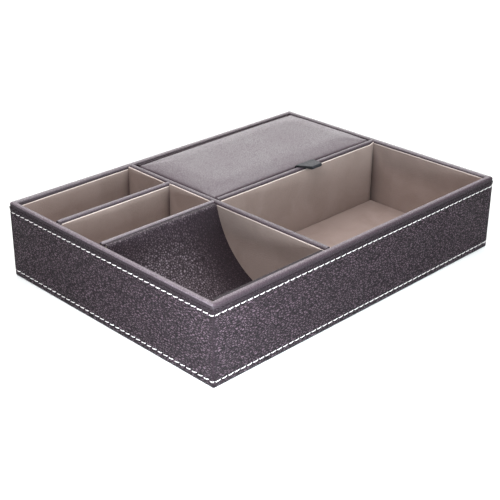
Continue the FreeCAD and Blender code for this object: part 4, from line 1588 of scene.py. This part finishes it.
class TRAY_OT_pull_tab(bpy.types.Operator):
    """Fold the leather pull tab out of the front edge of the lid"""
    bl_idname = "valet_tray.pull_tab"
    bl_label = "Pull Tab"

    def execute(self, context):
        low, high = box_of("pull_tab")
        centre_x = (low.x + high.x) / 2
        root_half = (high.x - low.x) / 2
        under = RIM_TOP + TAB_OVER_RIM
        rise_start = Vector((high.y - TAB_LEAF / 2, low.z + TAB_FOOT))
        corner = Vector((high.y - TAB_LEAF / 2, under + TAB_LEAF / 2))
        tip = Vector((low.y + TAB_TIP_IN, under - TAB_DROOP + TAB_TIP_THICKNESS / 2))
        upright = (corner - rise_start).length - TAB_BEND
        onward = (tip - corner).normalized()
        reach = (tip - corner).length - TAB_BEND
        quarter = math.pi / 2 * TAB_BEND
        total = upright + quarter + reach + 1.1

        def centre_line(t):
            """Point and direction that far along the leaf, from its foot on the lid's edge to its tip."""
            if t <= upright:
                return rise_start + Vector((0.0, t)), Vector((0.0, 1.0))
            if t <= upright + quarter:
                part = (t - upright) / quarter
                a = corner - Vector((0.0, TAB_BEND))
                b = corner + onward * TAB_BEND
                point = a * (1 - part) ** 2 + corner * 2 * part * (1 - part) + b * part ** 2
                way = (corner - a) * (1 - part) + (b - corner) * part
                return point, way.normalized()
            return corner + onward * (TAB_BEND + t - upright - quarter), onward

        def shape(width, t, lift):
            """The point of the tab that far across, along and through it."""
            middle, way = centre_line(t)
            part = (t - upright) / (total - upright)
            towards_tip = smooth(part)
            half = root_half + (TAB_TIP_HALF - root_half) * max(0.0, part)
            thick = TAB_LEAF / 2 + (TAB_TIP_THICKNESS / 2 - 0.02 - TAB_LEAF / 2) * towards_tip ** 1.4
            at_edge = smooth((abs(width) - 0.9) / 0.08)
            layered = TAB_LINE * bump_at(lift, TAB_LINE_HALF) * at_edge * towards_tip
            spot = middle + Vector((-way.y, way.x)) * (-lift) * thick
            return centre_x + width * (half - layered), spot.x, spot.y

        face = [TAB_EDGE - 1.0, *(-0.85 + 1.7 * i / 12 for i in range(13)), 1.0 - TAB_EDGE]
        turns = [math.pi / 2 * (1 - 2 * k / 8) for k in range(1, 8)]
        edge = [(1.0 - TAB_EDGE + TAB_EDGE * math.cos(a), math.sin(a)) for a in turns]
        loop = [(w, 1.0) for w in face] + edge
        loop += [(w, -1.0) for w in reversed(face)] + [(-w, -lift) for w, lift in edge]
        rows, fold = [], []
        for i in range(TAB_SECTIONS + 1):
            t = total * i / TAB_SECTIONS
            ease = math.sqrt(max(0.02, 1.0 - (t - total + 1.0) ** 2)) if t > total - 1.0 else 1.0
            rows.append([shape(w * (0.97 + 0.03 * ease), t, lift * ease) for w, lift in loop])
            fold += [smooth((abs(w) - 0.93) / TAB_WORN) for w, _ in loop]
        tab = piece("folded_pull_tab", *swept(rows), fold)
        leather = tab_finish("TabLeather", context.scene.tray_leather)
        finish_piece(tab, "lid", "tab_leather", leather, "pull_tab")
        return {"FINISHED"}


# ---------------------------------------------------------------- stage

WHITE = (1.0, 1.0, 1.0)
COOL = (0.84, 0.97, 1.0)
PAPER = (0.80, 0.80, 0.80, 1.0)
ROOM = (0.94, 0.97, 1.0, 1.0)
TRAY_MIDDLE = (0.0, 0.0, 0.03)
NEAR_CORNER = (-0.15, -0.11, 0.03)
# Each softbox: the setting of its power, where it stands and looks, its width and height, and its colour
SOFTBOXES = {
    "BackSoftbox": ("back_box", (1.05, 1.05, 0.42), TRAY_MIDDLE, (2.4, 0.3), WHITE),
    "LowBackSoftbox": ("low_back_box", (0.85, 1.20, 0.12), TRAY_MIDDLE, (2.4, 0.24), WHITE),
    "HighBackSoftbox": ("high_back_box", (0.9, 0.9, 0.85), TRAY_MIDDLE, (2.0, 0.4), WHITE),
    "OverBackSoftbox": ("over_back_box", (0.5, 0.5, 1.0), TRAY_MIDDLE, (0.7, 0.7), WHITE),
    "TopSoftbox": ("top_box", (0.0, 0.0, 1.1), TRAY_MIDDLE, (0.9, 0.9), WHITE),
    "FillSoftbox": ("fill_box", (-0.34, -0.20, 0.44), NEAR_CORNER, (0.2, 0.2), WHITE),
    "CornerSoftbox": ("corner_box", (-0.29, -0.25, 0.06), NEAR_CORNER, (0.12, 0.08), COOL),
    "SideSoftbox": ("side_box", (0.0, -0.55, 0.18), (0.0, -0.10, 0.03), (0.25, 0.25), COOL),
}
FLOOR_RADIUS = 4.0
FLOOR_SIDES = 24
FLOOR_HEIGHT = -0.0003


def seen_or_mirrored(tree):
    """1 where the camera looks at it, straight, in a reflection or through something clear."""
    path = place(tree, "ShaderNodeLightPath").outputs
    mirrored = figure(tree, "MAXIMUM", path["Is Glossy Ray"], path["Is Transmission Ray"])
    return figure(tree, "MAXIMUM", path["Is Camera Ray"], mirrored)


class TRAY_OT_stage(bpy.types.Operator):
    """Set the floor, the room light, the softboxes and the camera"""
    bl_idname = "valet_tray.stage"
    bl_label = "Stage"

    def execute(self, context):
        settings = context.scene.tray_stage
        self.lay_floor(settings)
        self.light_room(context.scene, settings)
        for name, (power, place_at, look_at, size, colour) in SOFTBOXES.items():
            self.stand_softbox(name, getattr(settings, power), place_at, look_at, size, colour)
        self.set_camera(context.scene, settings)
        return {"FINISHED"}

    def stand_softbox(self, name, power, place_at, look_at, size, colour):
        """A soft rectangular lamp that the camera doesn't see."""
        lamp = bpy.data.lights.new(name, "AREA")
        lamp.shape = "RECTANGLE"
        lamp.size, lamp.size_y = size
        lamp.energy = power
        lamp.color = colour
        made = bpy.data.objects.new(name, lamp)
        made.location = place_at
        made.rotation_mode = "QUATERNION"
        made.rotation_quaternion = (Vector(look_at) - Vector(place_at)).to_track_quat("-Z", "Y")
        made.visible_camera = False
        bpy.context.scene.collection.objects.link(made)

    def lay_floor(self, settings):
        """White paper under the tray, lifted to white away from it where it is seen or mirrored."""
        points = [(0.0, 0.0, FLOOR_HEIGHT)]
        faces = []
        for i in range(FLOOR_SIDES):
            angle = 2 * math.pi * i / FLOOR_SIDES
            points.append((FLOOR_RADIUS * math.cos(angle), FLOOR_RADIUS * math.sin(angle), FLOOR_HEIGHT))
            faces.append((0, 1 + i, 1 + (i + 1) % FLOOR_SIDES))
        mesh = bpy.data.meshes.new("StudioFloor")
        mesh.from_pydata(points, [], faces)
        floor = bpy.data.objects.new("StudioFloor", mesh)
        bpy.context.scene.collection.objects.link(floor)
        material = bpy.data.materials.new("WhitePaper")
        material.use_nodes = True
        tree = material.node_tree
        tree.nodes.clear()
        paper = place(tree, "ShaderNodeBsdfDiffuse", {"Color": PAPER})
        from_middle = place(tree, "ShaderNodeVectorMath", {
            0: place(tree, "ShaderNodeTexCoord").outputs["Object"]}, operation="LENGTH").outputs["Value"]
        glow_here = turned_into(tree, from_middle, 0.25, 1.0, settings.paper_glow, 1.0)
        glow = place(tree, "ShaderNodeEmission", {
            "Color": (*WHITE, 1.0),
            "Strength": figure(tree, "MULTIPLY", seen_or_mirrored(tree), glow_here)})
        both = place(tree, "ShaderNodeAddShader", {0: paper.outputs[0], 1: glow.outputs[0]})
        place(tree, "ShaderNodeOutputMaterial", {"Surface": both.outputs[0]})
        mesh.materials.append(material)

    def light_room(self, scene, settings):
        """Even, faint light from all round, that looks white where it is seen or mirrored."""
        world = bpy.data.worlds.new("StudioRoom")
        world.use_nodes = True
        tree = world.node_tree
        tree.nodes.clear()
        room = place(tree, "ShaderNodeBackground", {"Color": ROOM, "Strength": settings.ambient})
        white = place(tree, "ShaderNodeBackground", {"Color": (*WHITE, 1.0), "Strength": 1.0})
        mixed = place(tree, "ShaderNodeMixShader", {
            0: seen_or_mirrored(tree), 1: room.outputs[0], 2: white.outputs[0]})
        place(tree, "ShaderNodeOutputWorld", {"Surface": mixed.outputs[0]})
        scene.world = world
        scene.view_settings.view_transform = "Standard"

    def set_camera(self, scene, settings):
        """Turn the camera by its azimuth, elevation and roll, and stand it in its place."""
        azimuth, elevation, roll = settings.azimuth, settings.elevation, settings.roll
        back = Vector((math.sin(azimuth) * math.cos(elevation), -math.cos(azimuth) * math.cos(elevation),
                       math.sin(elevation)))
        right = Vector((math.cos(azimuth), math.sin(azimuth), 0.0))
        above = back.cross(right)
        turned_right = right * math.cos(roll) + above * math.sin(roll)
        turned_above = above * math.cos(roll) - right * math.sin(roll)
        data = bpy.data.cameras.new("Camera")
        data.sensor_fit = "HORIZONTAL"
        data.sensor_width = 36.0
        data.lens = settings.lens
        data.clip_start = 0.01
        data.clip_end = 20.0
        camera = bpy.data.objects.new("Camera", data)
        turn = Matrix((turned_right, turned_above, back)).transposed().to_4x4()
        camera.matrix_world = Matrix.Translation(Vector(settings.position)) @ turn
        scene.collection.objects.link(camera)
        scene.camera = camera


# ---------------------------------------------------------------- panel and registration

OPERATORS = (
    TRAY_OT_stage,
    TRAY_OT_outer_cover,
    TRAY_OT_saddle_stitching,
    TRAY_OT_rim_leathers,
    TRAY_OT_dividers,
    TRAY_OT_linings,
    TRAY_OT_scoop,
    TRAY_OT_boards_and_base,
    TRAY_OT_padded_lid,
    TRAY_OT_hinge_strip,
    TRAY_OT_pull_tab,
)


class TRAY_PT_panel(bpy.types.Panel):
    """Lists the sizes and colours of the tray and the steps that make it"""
    bl_idname = "TRAY_PT_panel"
    bl_label = "Valet Tray"
    bl_space_type = "VIEW_3D"
    bl_region_type = "UI"
    bl_category = "Valet Tray"

    def draw(self, context):
        layout = self.layout
        for name, group in SETTINGS.items():
            box = layout.box()
            box.label(text=group.__name__.replace("Settings", ""))
            for field in group.__annotations__:
                box.prop(getattr(context.scene, name), field)
        for operator in OPERATORS:
            layout.operator(operator.bl_idname)


CLASSES = (*SETTINGS.values(), *OPERATORS, TRAY_PT_panel)


def register():
    for cls in CLASSES:
        bpy.utils.register_class(cls)
    for name, group in SETTINGS.items():
        setattr(bpy.types.Scene, name, bpy.props.PointerProperty(type=group))


def unregister():
    for name in SETTINGS:
        delattr(bpy.types.Scene, name)
    for cls in reversed(CLASSES):
        bpy.utils.unregister_class(cls)


def main():
    register()
    for operator in OPERATORS:
        family, step = operator.bl_idname.split(".")
        getattr(getattr(bpy.ops, family), step)()


if __name__ == "__main__":
    main()
